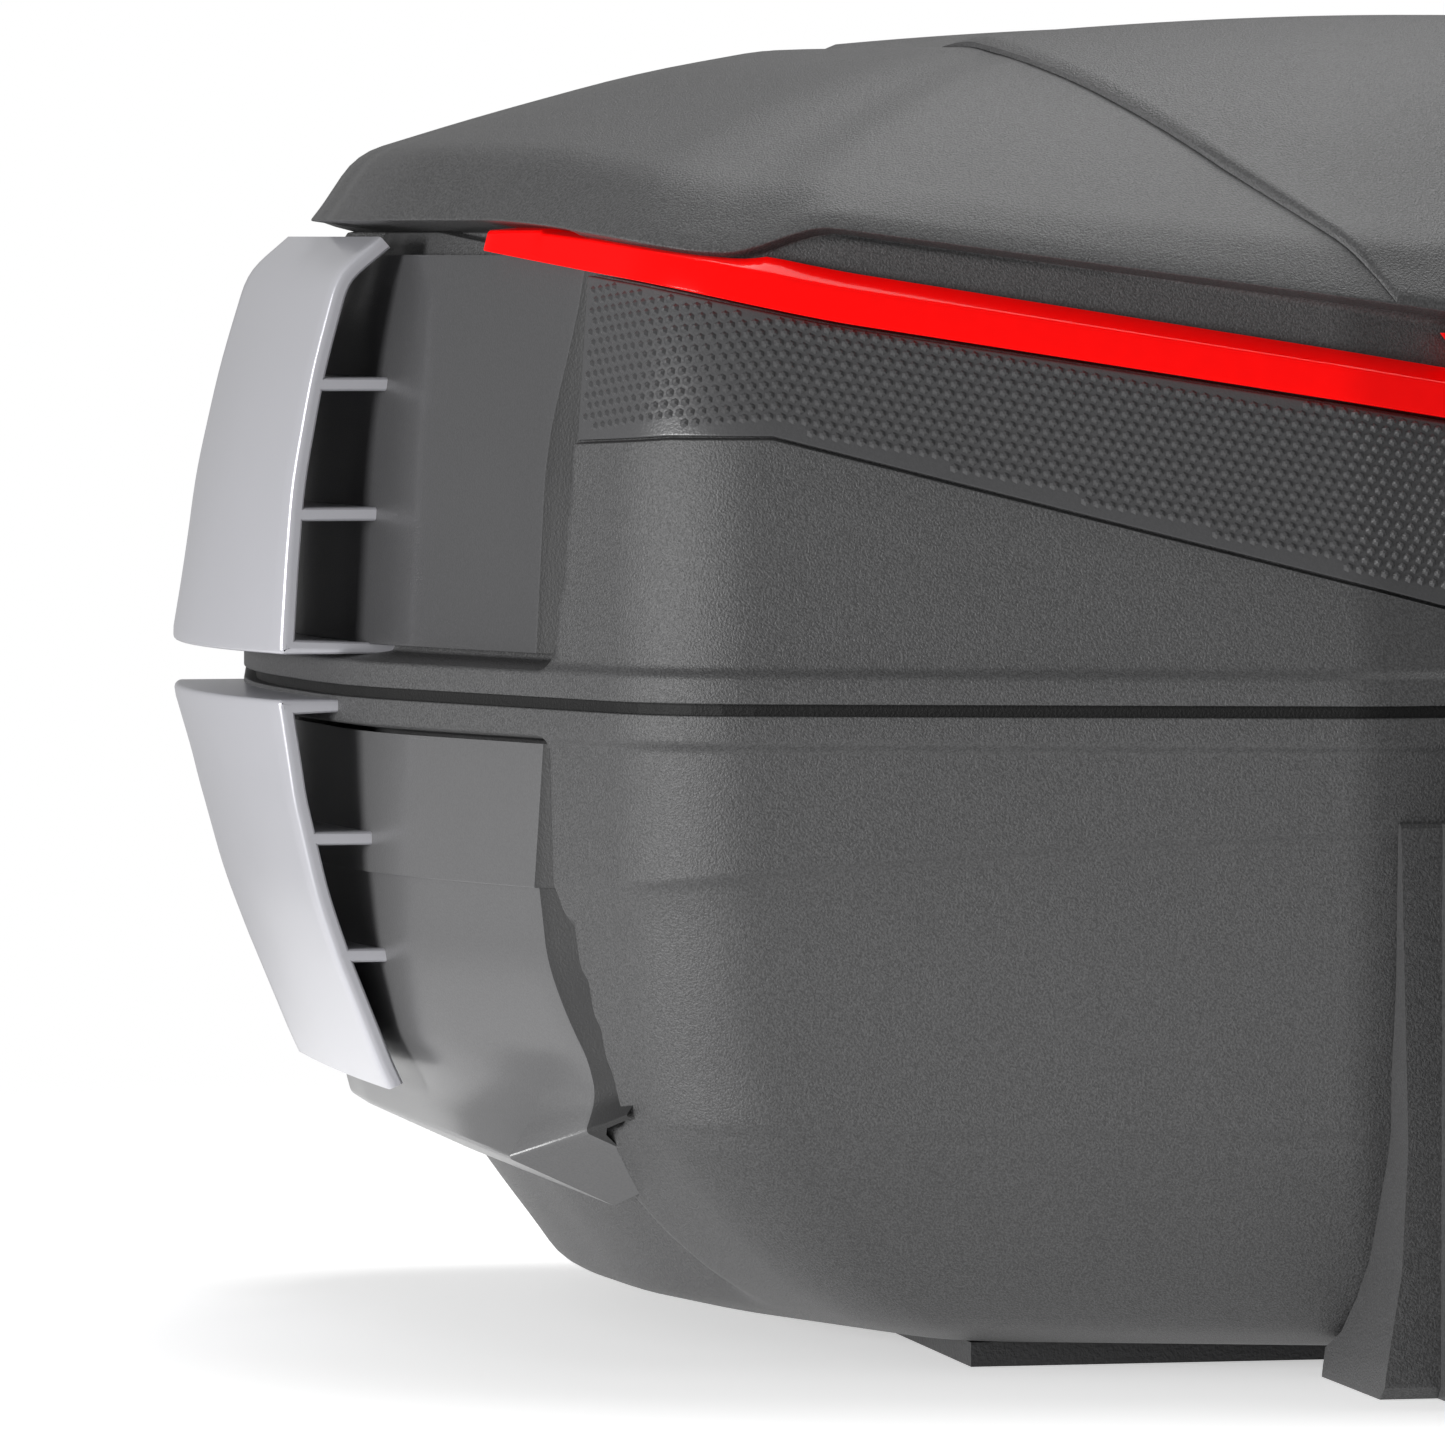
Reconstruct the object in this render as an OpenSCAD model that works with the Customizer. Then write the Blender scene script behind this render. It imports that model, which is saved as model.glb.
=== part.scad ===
// Hard-shell motorcycle top case: a hinged lid over a deep base, with air ducts along both sides,
// a wrap-round red reflector, and a latch block at the rear. +Z is up and -Y is the rear.

/* [Case] */
// Width of the body at the seam, without the side wings
body_w = 552; // [544:1:560]
// Distance from the centre to the rear wall at the seam
body_rear = 197; // [193:1:201]
// Distance from the centre to the front wall at the seam
body_front = 212; // [208:1:216]
// Height of the top edge of the base
seam_z = 161; // [158:1:164]
// Gap between base and lid, filled by the seal
seam_gap = 4; // [3:0.5:5]
// Wall thickness of the mouldings
wall_t = 4; // [3.5:0.5:5]

/* [Lid] */
// Height of the shoulder tops above the floor
shoulder_z = 321; // [316:1:325]
// Height of the eave above the side ducts
eave_z = 278; // [275:1:280]
// Rise of the centre cover at its crown
cover_rise = 5; // [4:0.5:7]
// Half width of the centre cover at its rear tip
cover_tip = 30; // [26:1:36]
// Half width of the centre cover where it is widest
cover_half = 116; // [110:1:120]
// Height of the reflector strip
lens_h = 9; // [8:0.5:10]
// Thickness of the textured band
band_t = 2; // [1.6:0.2:2.4]

/* [Side ducts] */
// Depth of the duct recess in the side walls
duct_depth = 12; // [10:0.5:13]
// Rear end of the duct, measured forward from the centre
duct_rear = -104; // [-108:1:-100]
// Front end of the duct, measured forward from the centre
duct_front = 118; // [112:1:122]
// Thickness of the duct panels
panel_t = 3; // [2.5:0.5:3.5]
// Thickness of the wing plates
wing_t = 3.5; // [3:0.5:4]
// Thickness of the ribs that carry the wings
rib_t = 3.5; // [3:0.5:4]
// Height of the upper wing's lower edge
upper_wing_z = 171; // [170:1:173]
// Height of the lower wing's upper edge
lower_wing_z = 159; // [157:0.5:160]

// Height of the upper wing's lowest rib over the seam
flange_up = 10.2; // [9:0.2:11]
// Height of the upper wing's middle rib over the seam
rib_1 = 43; // [40:1:46]
// Height of the upper wing's top rib over the seam
rib_2 = 75; // [70:1:80]
// Depth of the lower wing's highest rib under the seam
flange_down = 6.2; // [5:0.2:7]
// Depth of the lower wing's middle rib under the seam
rib_3 = 37; // [34:1:40]
// Depth of the lower wing's last rib under the seam
rib_4 = 66; // [62:1:70]

/* [Hinges] */
// Distance from the centre to each hinge
hinge_x = 150; // [130:5:165]
// Length of a hinge along its pin
hinge_l = 60; // [54:2:70]
// Radius of a hinge knuckle
knuckle_r = 4.5; // [4.3:0.1:4.8]
// Radius of a hinge pin
hinge_pin_r = 2; // [1.8:0.1:2.2]
/* [Latch] */
// Half width of the latch block at its foot
block_half = 47.5; // [46:0.5:49]
// Height of the latch block
block_h = 136; // [134:1:138]
// Distance from the centre to the rear of the latch block
block_face = 196; // [195:0.5:198]
// Distance from the centre to the rear of the latch flap
block_rear = 222; // [221:0.5:224]
// Half width of the latch flap
flap_half = 28; // [26:1:29]
// Thickness of the latch flap
flap_t = 6; // [5:0.5:6.5]
// Height of the flap's pivot
flap_pivot_z = 66; // [62:1:70]
// Height of the flap's top edge
flap_top = 150; // [146:1:152]
// Radius of the key cylinder
key_r = 8; // [7:0.5:9]
// Radius of the latch pivot pins
latch_pin_r = 2; // [1.8:0.1:2.2]
// Radius of the release button
button_r = 9; // [8:0.5:10]
// Travel of the release button
button_travel = 5; // [4:0.5:5]

/* [Underside] */
// Width of the mounting plate
plate_w = 250; // [240:2:260]
// Length of the mounting plate
plate_l = 200; // [190:2:206]
// Thickness of the mounting plate
plate_t = 6; // [5:0.5:7]
// Spacing of the rack bolts across the case
bolt_x = 180; // [160:5:190]
// Spacing of the rack bolts along the case
bolt_y = 120; // [100:5:130]
// Radius of the rack bolt holes
bolt_r = 3.3; // [3:0.1:3.5]

/* [Hidden] */
$fn = 48;
body = [0.27, 0.27, 0.28];
satin = [0.33, 0.33, 0.34];
silver = [0.72, 0.72, 0.76];
lens_red = [0.8, 0.02, 0.02];
steel = [0.6, 0.6, 0.62];
black = [0.06, 0.06, 0.06];
half_w = body_w / 2;
lid_z = seam_z + seam_gap;
rim_h = 6.5;        // height of the plain rim beside the seam
fit = 0.05;         // gap between a panel and the moulding it is fixed on
running = 0.05;     // radial gap of a pin in its knuckle
clear = 0.4;        // gap between pieces that move past each other
fill_step = 30;     // longest straight stretch of an outline before it is divided
hinge_y = body_front + 5.5;
hinge_z = seam_z + seam_gap / 2;
duct_end = 10;      // length over which the duct recess fades out
lens_end = duct_rear + 29;      // where the reflector ends on the side

// Outline of the seam, seen from above: the right half, from the rear centre to the front centre.
// Each corner is [x, y, radius].
corner_rear = [half_w - 64, 47 - body_rear, 45];
corner_side = [half_w - 8, -25, 160];
corner_wide = [half_w, 70, 300];
corner_front = [half_w - 24, body_front, 55];
flat_half = block_half + 4.5;

function along_y(a, b, y) = [a.x + (b.x - a.x) * (y - a.y) / (b.y - a.y), y, 0];
outline_corners = [
    [0, -body_rear, 0],
    [flat_half, -body_rear, 30],
    corner_rear,
    for (step = [-21, -17, -13, -9, -5, -1, 5]) along_y(corner_rear, corner_side, duct_rear + step),
    along_y(corner_rear, corner_side, lens_end),
    corner_side,
    corner_wide,
    along_y(corner_wide, corner_front, duct_front),
    along_y(corner_wide, corner_front, duct_front + duct_end),
    corner_front,
    [0, body_front, 0]
];

function flat(p) = [p.x, p.y];
function unit(v) = v / norm(v);
function round_corner(a, p, b, r, n) =
    let (u = unit(a - p), w = unit(b - p), half = acos(u * w) / 2, c = p + unit(u + w) * r / sin(half))
    let (s = p + u * r / tan(half) - c, e = p + w * r / tan(half) - c)
    let (a0 = atan2(s.y, s.x), turn = 180 - 2 * half, way = s.x * e.y - s.y * e.x > 0 ? 1 : -1)
    [for (i = [0 : n]) c + r * [cos(a0 + way * turn * i / n), sin(a0 + way * turn * i / n)]];
function rounded(c, n) = [
    for (i = [0 : len(c) - 1])
        each c[i].z == 0 ? [flat(c[i])]
            : round_corner(flat(c[i - 1]), flat(c[i]), flat(c[i + 1]), c[i].z, n)
];
function filled(p, step) = [
    for (i = [0 : len(p) - 2])
        let (n = ceil(norm(p[i + 1] - p[i]) / step))
        each [for (k = [0 : n - 1]) p[i] + (p[i + 1] - p[i]) * k / n],
    p[len(p) - 1]
];
half_outline = filled(rounded(outline_corners, 5), fill_step);
last = len(half_outline) - 1;

// How far the duct's rear edge leans back at a height
function duct_lean(z) = lookup(z, [
    [67, 16], [90, 11], [114, 3], [127, 2], [172, 2], [190, 5], [225, 9], [263, 11]
]);
// How much of the duct recess applies at a station and height
function duct(y, z) = lookup(y, [
    [duct_rear - 5 - duct_lean(z), 0], [duct_rear + 1 - duct_lean(z), 1],
    [duct_front, 1], [duct_front + duct_end, 0]
]);

// A station moved in by the side, rear and front insets, at a height
function level(p, side, rear, front, z, recess) = [
    p.x * (1 - (side + recess * duct(p.y, z)) / half_w),
    p.y < 0 ? p.y * (1 - rear / body_rear) : p.y * (1 - front / body_front),
    z
];

// A full ring from a half one: right half forward, then the left half back
function mirrored(h) = concat(h, [for (i = [len(h) - 2 : -1 : 1]) [-h[i].x, h[i].y, h[i].z]]);

// Heights of the lid's feature lines, as functions of the distance from the centre plane
function band_z(x) = min(lid_z + 13 + 0.255 * x, lid_z + 61, lid_z + 80 - 0.09 * x);
function lens_z(x) = min(eave_z - 3, lid_z + 61 + 0.155 * x + 4 * pow(max(0, x - 170) / 60, 1.5));
function ridge_z(x) = min(eave_z, eave_z - 25.3 + 0.137 * x);
band_lean = 0.36;   // how far the band leans in for each unit of height
dish_z = shoulder_z - 4;        // floor of the shallow dish under the centre cover

// The lid's outside, from the seam upwards: [side inset, rear inset, front inset, height, duct recess]
function lid_rows(x) =
    let (b = band_z(x), l = lens_z(x), e = ridge_z(x), rise = shoulder_z - e)
    let (lens_in = 5 + (l - b) * band_lean)
    [
        [0, 0, 0, lid_z, 0],
        [0, 0, 0, lid_z + rim_h, 0],
        [2, 2, 2, lid_z + rim_h + 2, duct_depth],
        [4, 5, 4, b, duct_depth],
        [4 + band_t, 5 + band_t, 4, b + 0.5, duct_depth],
        [9 + band_t, lens_in + band_t, 9, l, duct_depth],
        [14, lens_in + 9, 10, l + 0.5, duct_depth],
        [14, lens_in + 12, 10, e - 1, duct_depth],
        [4, 25, 4, e, 0],
        [6, 27, 6, e + 3, 0],
        [18, 47, 20, e + rise * 0.40, 0],
        [48, 72, 50, e + rise * 0.61, 0],
        [90, 100, 90, e + rise * 0.85, 0],
        [120, 130, 120, shoulder_z, 0],
        [150, 152, 150, dish_z, 0]
    ];
band_row = 4;       // rows of the lid where the band starts and ends
lens_row = 5;
roof_row = 9;       // first row of the roof, above the ridge

// The lid's inside, from the seam upwards, in the same form
function lid_inner_rows(x) =
    let (b = band_z(x), l = lens_z(x), e = ridge_z(x), rise = shoulder_z - e, t = wall_t)
    let (lens_in = 5 + (l - b) * band_lean)
    [
        [12 + t, 12 + t, 12 + t, lid_z, 0],
        [12 + t, 12 + t, 12 + t, lid_z + rim_h - 1, 0],
        [3 + t, 3 + t, 3 + t, lid_z + rim_h + 6, duct_depth],
        [5 + band_t + t, 7 + band_t + t, 5 + t, b - 2, duct_depth],
        [14 + t, lens_in + 10 + t, 10 + t, l - t, duct_depth],
        [15 + t, lens_in + 13 + t, 11 + t, e - 4, duct_depth],
        [30 + t, 60 + t, 32 + t, e + rise * 0.47 - t, 0],
        [50 + t, 76 + t, 52 + t, e + rise * 0.61 - t, 0],
        [90 + t, 103 + t, 90 + t, e + rise * 0.84 - t, 0],
        [146, 148, 146, dish_z - t, 0]
    ];

// Height of the crease that runs round the base
function crease_z(x) = seam_z - 26 - 12 * pow(x / 200, 2);

// The base's outside, from the seam downwards, in the same form
function base_rows(x) =
    let (c = crease_z(x), floor_z = plate_t)
    [
        [0, 0, 0, seam_z, 0],
        [0, 0, 0, seam_z - rim_h, 0],
        [2, 2, 2, seam_z - rim_h - 2, duct_depth],
        [3, 4, 3, c, duct_depth],
        [6, 9, 6, 98, duct_depth],
        [11, 15, 10, 76, duct_depth],
        [15, 16.8, 11.2, 62.5, duct_depth],
        [16.5, 18.2, 12.3, 60, 0],
        [19, 19, 14, 56, 0],
        [30, 24, 20, 45, 0],
        [44, 30, 28, 32, 0],
        [60, 37, 36, 21, 0],
        [80, 46, 46, 12, 0],
        [100, 58, 58, floor_z + 1, 0],
        [115, 70, 70, floor_z, 0]
    ];

// The base's inside, from the seam downwards, in the same form
function base_inner_rows(x) =
    let (t = wall_t, floor_z = plate_t + wall_t)
    [
        [12 + t, 12 + t, 12 + t, seam_z, 0],
        [12 + t, 12 + t, 12 + t, seam_z - rim_h + 1, 0],
        [3 + t, 3 + t, 3 + t, seam_z - rim_h - 6, duct_depth],
        [7 + t, 10 + t, 7 + t, 98, duct_depth],
        [16 + t, 18 + t, 12.5 + t, 66, duct_depth],
        [27 + t, 22 + t, 19 + t, 56, duct_depth / 2],
        [34 + t, 26 + t, 23 + t, 48, 0],
        [49 + t, 32 + t, 31 + t, 34, 0],
        [66 + t, 39 + t, 38 + t, 24, 0],
        [86 + t, 48 + t, 48 + t, 16, 0],
        [112 + t, 72 + t, 72 + t, floor_z, 0]
    ];

// Distance from the centre plane that sets the feature heights at a station: the rear lines fall to
// the centre, and the front ones stay level
function reach(p) = abs(p.x) + (half_w - 30 - abs(p.x)) * lookup(p.y, [[0, 0], [120, abs(p.x) < half_w - 30 ? 1 : 0]]);

function lid_ring(k) = mirrored([for (p = half_outline)
    let (r = lid_rows(reach(p))[k]) level(p, r[0], r[1], r[2], r[3], r[4])]);
function lid_inner_ring(k) = mirrored([for (p = half_outline)
    let (r = lid_inner_rows(reach(p))[k]) level(p, r[0], r[1], r[2], r[3], r[4])]);
function base_ring(k) = mirrored([for (p = half_outline)
    let (r = base_rows(reach(p))[k]) level(p, r[0], r[1], r[2], r[3], r[4])]);
function base_inner_ring(k) = mirrored([for (p = half_outline)
    let (r = base_inner_rows(reach(p))[k]) level(p, r[0], r[1], r[2], r[3], r[4])]);

// The two triangles of a quad between points a, b and the row after them, cut one way or the other
function quad(a, b, n, turned) = turned ? [[a, a + n, b + n], [a, b + n, b]] : [[a, a + n, b], [b, a + n, b + n]];
function flipped(faces) = [for (f = faces) [f.x, f.z, f.y]];

// The faces between a ring's points and the next ring's, for rings of n points stored from index `from`
function belt(from, n, rows, out) = [
    for (j = [0 : rows - 2], i = [0 : n - 1])
        let (q = quad(from + j * n + i, from + j * n + (i + 1) % n, n, i >= n / 2))
        each out ? q : flipped(q)
];

function middle(ring) = [0, (ring[0].y + ring[last].y) / 2, ring[0].z];
// Triangles from a middle point to the ring stored from index `from`
function fan(hub, from, n, up) = [
    for (i = [0 : n - 1])
        let (a = from + i, b = from + (i + 1) % n)
        up ? [hub, b, a] : [hub, a, b]
];

// A cup from an outer and an inner stack of rings that both start at the open rim; `up` says which
// way the stacks run
module cup(outer, inner, up) {
    n = len(outer[0]);
    m = len(outer);
    k = len(inner);
    hub = (m + k) * n;
    roof = fan(hub, (m - 1) * n, n, up);
    ceiling = fan(hub + 1, (m + k - 1) * n, n, !up);
    rim = [
        for (i = [0 : n - 1])
            let (a = i, b = (i + 1) % n, c = m * n + a, d = m * n + b)
            each up ? [[a, b, c], [b, d, c]] : [[a, c, b], [b, c, d]]
    ];
    polyhedron(
        points = concat([for (r = concat(outer, inner)) each r], [middle(outer[m - 1]), middle(inner[k - 1])]),
        faces = concat(belt(0, n, m, up), belt(m * n, n, k, !up), rim, roof, ceiling)
    );
}

// A closed slab between a front and a back grid of points; rows run upwards, columns to the right
// as seen from the front
module slab(front, back, turned = false) {
    rows = len(front);
    n = len(front[0]);
    size = rows * n;
    grid = [
        for (j = [0 : rows - 2], i = [0 : n - 2])
            let (a = j * n + i)
            each concat(quad(a, a + 1, n, turned), flipped(quad(size + a, size + a + 1, n, turned)))
    ];
    low = [for (i = [0 : n - 2]) each [[i, i + 1, size + i], [i + 1, size + i + 1, size + i]]];
    t = size - n;
    high = [for (i = [t : t + n - 2]) each [[i, size + i, i + 1], [i + 1, size + i, size + i + 1]]];
    left = [
        for (j = [0 : rows - 2])
            let (a = j * n, b = a + n)
            each [[a, size + a, b], [b, size + a, size + b]]
    ];
    right = [
        for (j = [0 : rows - 2])
            let (a = j * n + n - 1, b = a + n)
            each [[a, b, size + a], [b, size + b, size + a]]
    ];
    polyhedron(
        points = concat([for (r = front) each r], [for (r = back) each r]),
        faces = concat(grid, low, high, left, right)
    );
}

// Stations of the right half with a y between two values
function stations(y0, y1) = [for (p = half_outline) if (p.y >= y0 && p.y <= y1) p];

// A row of lid or base points for chosen stations, with the insets changed by `out`
function row_points(st, rows, k, out, recess, rise) = [
    for (p = st)
        let (r = rows == "lid" ? lid_rows(reach(p))[k] : base_rows(reach(p))[k])
        level(p, r[0] - out, r[1] - out, r[2] - out, r[3] + rise, recess)
];

module both_sides() {
    children();
    mirror([1, 0, 0]) children();
}

// ---- Lid ----

module lid_shell() {
    outer = [for (k = [0 : len(lid_rows(0)) - 1]) lid_ring(k)];
    inner = [for (k = [0 : len(lid_inner_rows(0)) - 1]) lid_inner_ring(k)];
    color(body) cup(outer, inner, true);
}

// Half width of the centre cover at a distance from the centre
function cover_width(y) = lookup(y, [
    [-body_rear + 25, cover_tip], [-142, cover_tip + 24], [-112, cover_tip + 42], [-87, cover_tip + 60],
    [-45, cover_half - 7], [-20, cover_half], [60, cover_half], [150, cover_half - 10], [190, cover_half - 24]
]);
function outline_y(x, front) = lookup(x, front
    ? [for (i = [last : -1 : 0]) if (half_outline[i].y > 0) [half_outline[i].x, half_outline[i].y]]
    : [for (i = [0 : last]) if (half_outline[i].y < duct_rear) [half_outline[i].x, half_outline[i].y]]);
// A point of the roof at distance x from the centre plane, on a roof row, at the rear or the front
function roof_point(x, k, front) =
    let (side = lid_rows(0)[k][0], s = abs(x) / (1 - side / half_w), y = outline_y(s, front))
    let (r = lid_rows(reach([s, y]))[k])
    [x, y * (1 - (front ? r[2] / body_front : r[1] / body_rear)), r[3]];

cover_edge = 2.5;   // thickness of the centre cover at its edge
cover_gap = 1.15;    // gap under the centre cover
cover_across = [-1, -0.92, -0.8, -0.6, -0.4, -0.2, 0, 0.2, 0.4, 0.6, 0.8, 0.92, 1];
cover_rows = concat(
    [for (k = [roof_row : len(lid_rows(0)) - 1]) [k, false]],
    [for (k = [len(lid_rows(0)) - 1 : -1 : roof_row + 1]) [k, true]]
);
function cover_row(row, top) =
    let (w = cover_width(roof_point(0, row[0], row[1]).y))
    [for (u = cover_across)
        let (p = roof_point(u * w, row[0], row[1]), crown = max(0, (p.z - eave_z) / (shoulder_z - eave_z)))
        p + [0, 0, top ? cover_edge + (cover_rise + 1) * crown * (1 - u * u) : cover_gap]];

module lid_center_cover() {
    color(body) slab([for (r = cover_rows) cover_row(r, true)], [for (r = cover_rows) cover_row(r, false)]);
}

// Reflector of the right half: a bar in the channel under the ridge
lens_top = lens_h + 4;
module reflector() {
    st = [for (p = half_outline) if (p.y <= lens_end) p];
    // Points at a depth behind the band's face, at the sides and at the rear, and a height over its top
    function bar(side, rear, rise, recess) = [
        for (p = st)
            let (r = lid_rows(p.x)[lens_row], q = max(p.x, fit))
            let (top = lid_rows(p.x)[lens_row + 2][3] - 1 - (lens_top - rise) * 0.3)
            level([q, p.y], r[0] - band_t + side, r[1] - band_t + rear, r[2], min(r[3] + rise, top), recess)
    ];
    low = 0.8;
    lip = 1.5;
    sunk = duct_depth - 5.5;
    slab(
        [bar(-lip, -lip, low, 0), bar(0, 0, lens_h, 0), bar(3.2, 7.2, lens_top, sunk)],
        [bar(3.2, 4.6, low, sunk), bar(3.2, 4.6, lens_h - 1, sunk), bar(3.7, 7.6, lens_top - 1, sunk)]
    );
}
module reflector_right() {
    color(lens_red) reflector();
}
module reflector_left() {
    color(lens_red) mirror([1, 0, 0]) reflector();
}

module center_lens() {
    top = ridge_z(0) - 1.5;
    bottom = lens_z(0) + lens_top + 4;
    tip = cover_tip - 4;
    color(lens_red)
        translate([0, -body_rear + 31.4, 0])
            rotate([90, 0, 0])
                linear_extrude(6.4) polygon([[-tip, top], [-tip + 6, bottom], [tip - 6, bottom], [tip, top]]);
}

// Textured band of the right half, between the seam wall and the reflector
module textured_band() {
    st = [for (p = half_outline) if (p.y <= duct_rear - 16) [max(p.x, fit), p.y]];
    out = band_t - fit;
    back = 0.3;
    slab(
        [row_points(st, "lid", band_row, out, duct_depth, clear),
            row_points(st, "lid", lens_row, out, duct_depth, -clear)],
        [row_points(st, "lid", band_row, back, duct_depth, clear),
            row_points(st, "lid", lens_row, back, duct_depth, -clear)]
    );
}
module textured_band_right() {
    color(body) textured_band();
}
module textured_band_left() {
    color(body) mirror([1, 0, 0]) textured_band();
}

// Duct panels lie in the recesses of the side walls
module duct_panel_upper() {
    st = stations(duct_rear + 5 - 0.01, duct_front + 0.01);
    skin = duct_depth - 2 * fit;
    slab(
        [for (k = [2 : lens_row]) row_points(st, "lid", k, 0, skin - panel_t, k == 2 ? 0.3 : k == lens_row ? -0.3 : 0)],
        [for (k = [2 : lens_row]) row_points(st, "lid", k, 0, skin, k == 2 ? 0.3 : k == lens_row ? -0.3 : 0)]
    );
}
module duct_panel_upper_right() {
    color(satin) duct_panel_upper();
}
module duct_panel_upper_left() {
    color(satin) mirror([1, 0, 0]) duct_panel_upper();
}
module duct_panel_lower() {
    st = stations(duct_rear + 5 - 0.01, duct_front + 0.01);
    skin = duct_depth - 2 * fit;
    slab(
        [for (k = [5 : -1 : 2]) row_points(st, "base", k, 0, skin - panel_t, k == 2 ? -0.3 : k == 5 ? 0.3 : 0)],
        [for (k = [5 : -1 : 2]) row_points(st, "base", k, 0, skin, k == 2 ? -0.3 : k == 5 ? 0.3 : 0)],
        true
    );
}
module duct_panel_lower_right() {
    color(satin) duct_panel_lower();
}
module duct_panel_lower_left() {
    color(satin) mirror([1, 0, 0]) duct_panel_lower();
}

// ---- Side wings ----

wing_rear = duct_rear + 84;     // rear edge of the wings
wing_mid = wing_rear + 75;      // where the wings stand out the most
wing_front = wing_rear + 132;
wing_ys = [wing_rear, wing_rear + 25, wing_rear + 50, wing_mid, wing_rear + 105, wing_front];

// Outer face of the wings: [height above the seam, distance from the centre, bow]
upper_wing_rows = [
    [upper_wing_z - lid_z, half_w + 17.5, 12.5], [28, half_w + 13.5, 9.5], [48, half_w + 9.5, 7],
    [76, half_w + 1.5, 4], [101, half_w - 8.5, 2], [108.5, half_w - 12.4, 1.5]
];
lower_wing_rows = [
    [seam_z - lower_wing_z, half_w + 17, 11.5], [26, half_w + 9, 7], [50, half_w + 1, 4.5],
    [66, half_w - 6, 3], [92, half_w - 17.4, 2], [97.8, half_w - 20, 2]
];
function wing_x(r, y) = r[1] - r[2] * pow((y - wing_mid) / (wing_mid - wing_rear), 2);
function wing_at(rows, h, y) = lookup(h, [for (r = rows) [r[0], wing_x(r, y)]]);

// One wing plate; `z0` is the seam side's height and `way` is 1 upwards or -1 downwards
module wing_plate(rows, z0, way) {
    order = way > 0 ? [0 : len(rows) - 1] : [len(rows) - 1 : -1 : 0];
    slab(
        [for (i = order) [for (y = wing_ys) [wing_x(rows[i], y), y, z0 + way * rows[i][0]]]],
        [for (i = order) [for (y = wing_ys) [wing_x(rows[i], y) - wing_t, y, z0 + way * rows[i][0]]]]
    );
}

// A flat rib from the wing to the duct panel, `h` from the seam, with its underside at `z`
module wing_rib(rows, h, z, wall_k) {
    upper = wall_k == "lid";
    skin = duct_depth - panel_t;
    near = upper ? z - 0.3 : z + rib_t + 0.3;
    wall = [
        for (p = stations(wing_rear, wing_front))
            let (a = upper ? lid_rows(reach(p)) : base_rows(reach(p)), last_k = lens_row)
            let (inset = lookup(near, [for (i = upper ? [0 : last_k] : [last_k : -1 : 0])
                [a[i][3], a[i][0] + (i > 1 ? skin * duct(p.y, z) : 0)]]))
            [p.x * (1 - inset / half_w) + 0.25, p.y]
    ];
    plate = [for (i = [len(wing_ys) - 1 : -1 : 0])
        [wing_at(rows, h, wing_ys[i]) - wing_t / 2 - 1.2, wing_ys[i]]];
    ends = [[wall[0].x + 0.5, wing_rear], [wall[len(wall) - 1].x, wing_front]];
    translate([0, 0, z]) linear_extrude(rib_t)
        polygon(concat([ends[0]], wall, [ends[1]], plate));
}

upper_rib_zs = [seam_z + flange_up, seam_z + rib_1, seam_z + rib_2];
lower_rib_zs = [seam_z - flange_down, seam_z - rib_3, seam_z - rib_4];
module wing_upper() {
    wing_plate(upper_wing_rows, lid_z, 1);
    for (z = upper_rib_zs) wing_rib(upper_wing_rows, z - lid_z, z, "lid");
}
module wing_lower() {
    wing_plate(lower_wing_rows, seam_z, -1);
    for (z = lower_rib_zs) wing_rib(lower_wing_rows, seam_z - z, z, "base");
}
module wing_upper_right() {
    color(silver) wing_upper();
}
module wing_upper_left() {
    color(silver) mirror([1, 0, 0]) wing_upper();
}
module wing_lower_right() {
    color(silver) wing_lower();
}
module wing_lower_left() {
    color(silver) mirror([1, 0, 0]) wing_lower();
}

// ---- Base ----

module base_shell() {
    outer = [for (k = [0 : len(base_rows(0)) - 1]) base_ring(k)];
    inner = [for (k = [0 : len(base_inner_rows(0)) - 1]) base_inner_ring(k)];
    color(body) cup(outer, inner, false);
}

// The seal fills the seam, fixed on the base
module lid_seal() {
    outside = [for (p = half_outline) level(p, 3, 3, 3, 0, 0)];
    inside = [for (p = half_outline) level(p, 9, 9, 9, 0, 0)];
    color(black)
        translate([0, 0, seam_z])
            linear_extrude(seam_gap - 0.2)
                difference() {
                    polygon([for (p = mirrored(outside)) flat(p)]);
                    polygon([for (p = mirrored(inside)) flat(p)]);
                }
}

module floor_mat() {
    edge = 4;
    r = base_inner_rows(0)[len(base_inner_rows(0)) - 1];
    color(black)
        translate([0, 0, plate_t + wall_t])
            linear_extrude(3)
                polygon([for (p = mirrored([for (p = half_outline)
                    level(p, r[0] + edge, r[1] + edge, r[2] + edge, 0, 0)])) flat(p)]);
}

// ---- Hinges ----

leaf_t = 2.5;       // thickness of a hinge leaf
screw_r = 1.6;
head_r = 3.2;
head_h = 1.6;
knuckle_l = hinge_l / 3;
lid_leaf_top = lid_z + 34;
base_leaf_bottom = seam_z - 32;
// The front walls are set back above and below the rims
wall_back = 1.8;

module at_hinges() {
    for (side = [-1, 1]) translate([side * hinge_x, 0, 0]) children();
}
module knuckle(x0, l) {
    translate([x0, hinge_y, hinge_z]) rotate([0, 90, 0]) cylinder(r = knuckle_r, h = l);
}
module pin_bore() {
    translate([-hinge_l, hinge_y, hinge_z])
        rotate([0, 90, 0]) cylinder(r = hinge_pin_r + running, h = 2 * hinge_l);
}
module leaf_holes(z) {
    for (x = [-1, 1])
        translate([x * hinge_l / 3, body_front + leaf_t + 1, z])
            rotate([90, 0, 0]) cylinder(r = screw_r + running, h = 12);
}

lid_screw_z = lid_leaf_top - 10;
base_screw_z = base_leaf_bottom + 10;
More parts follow.
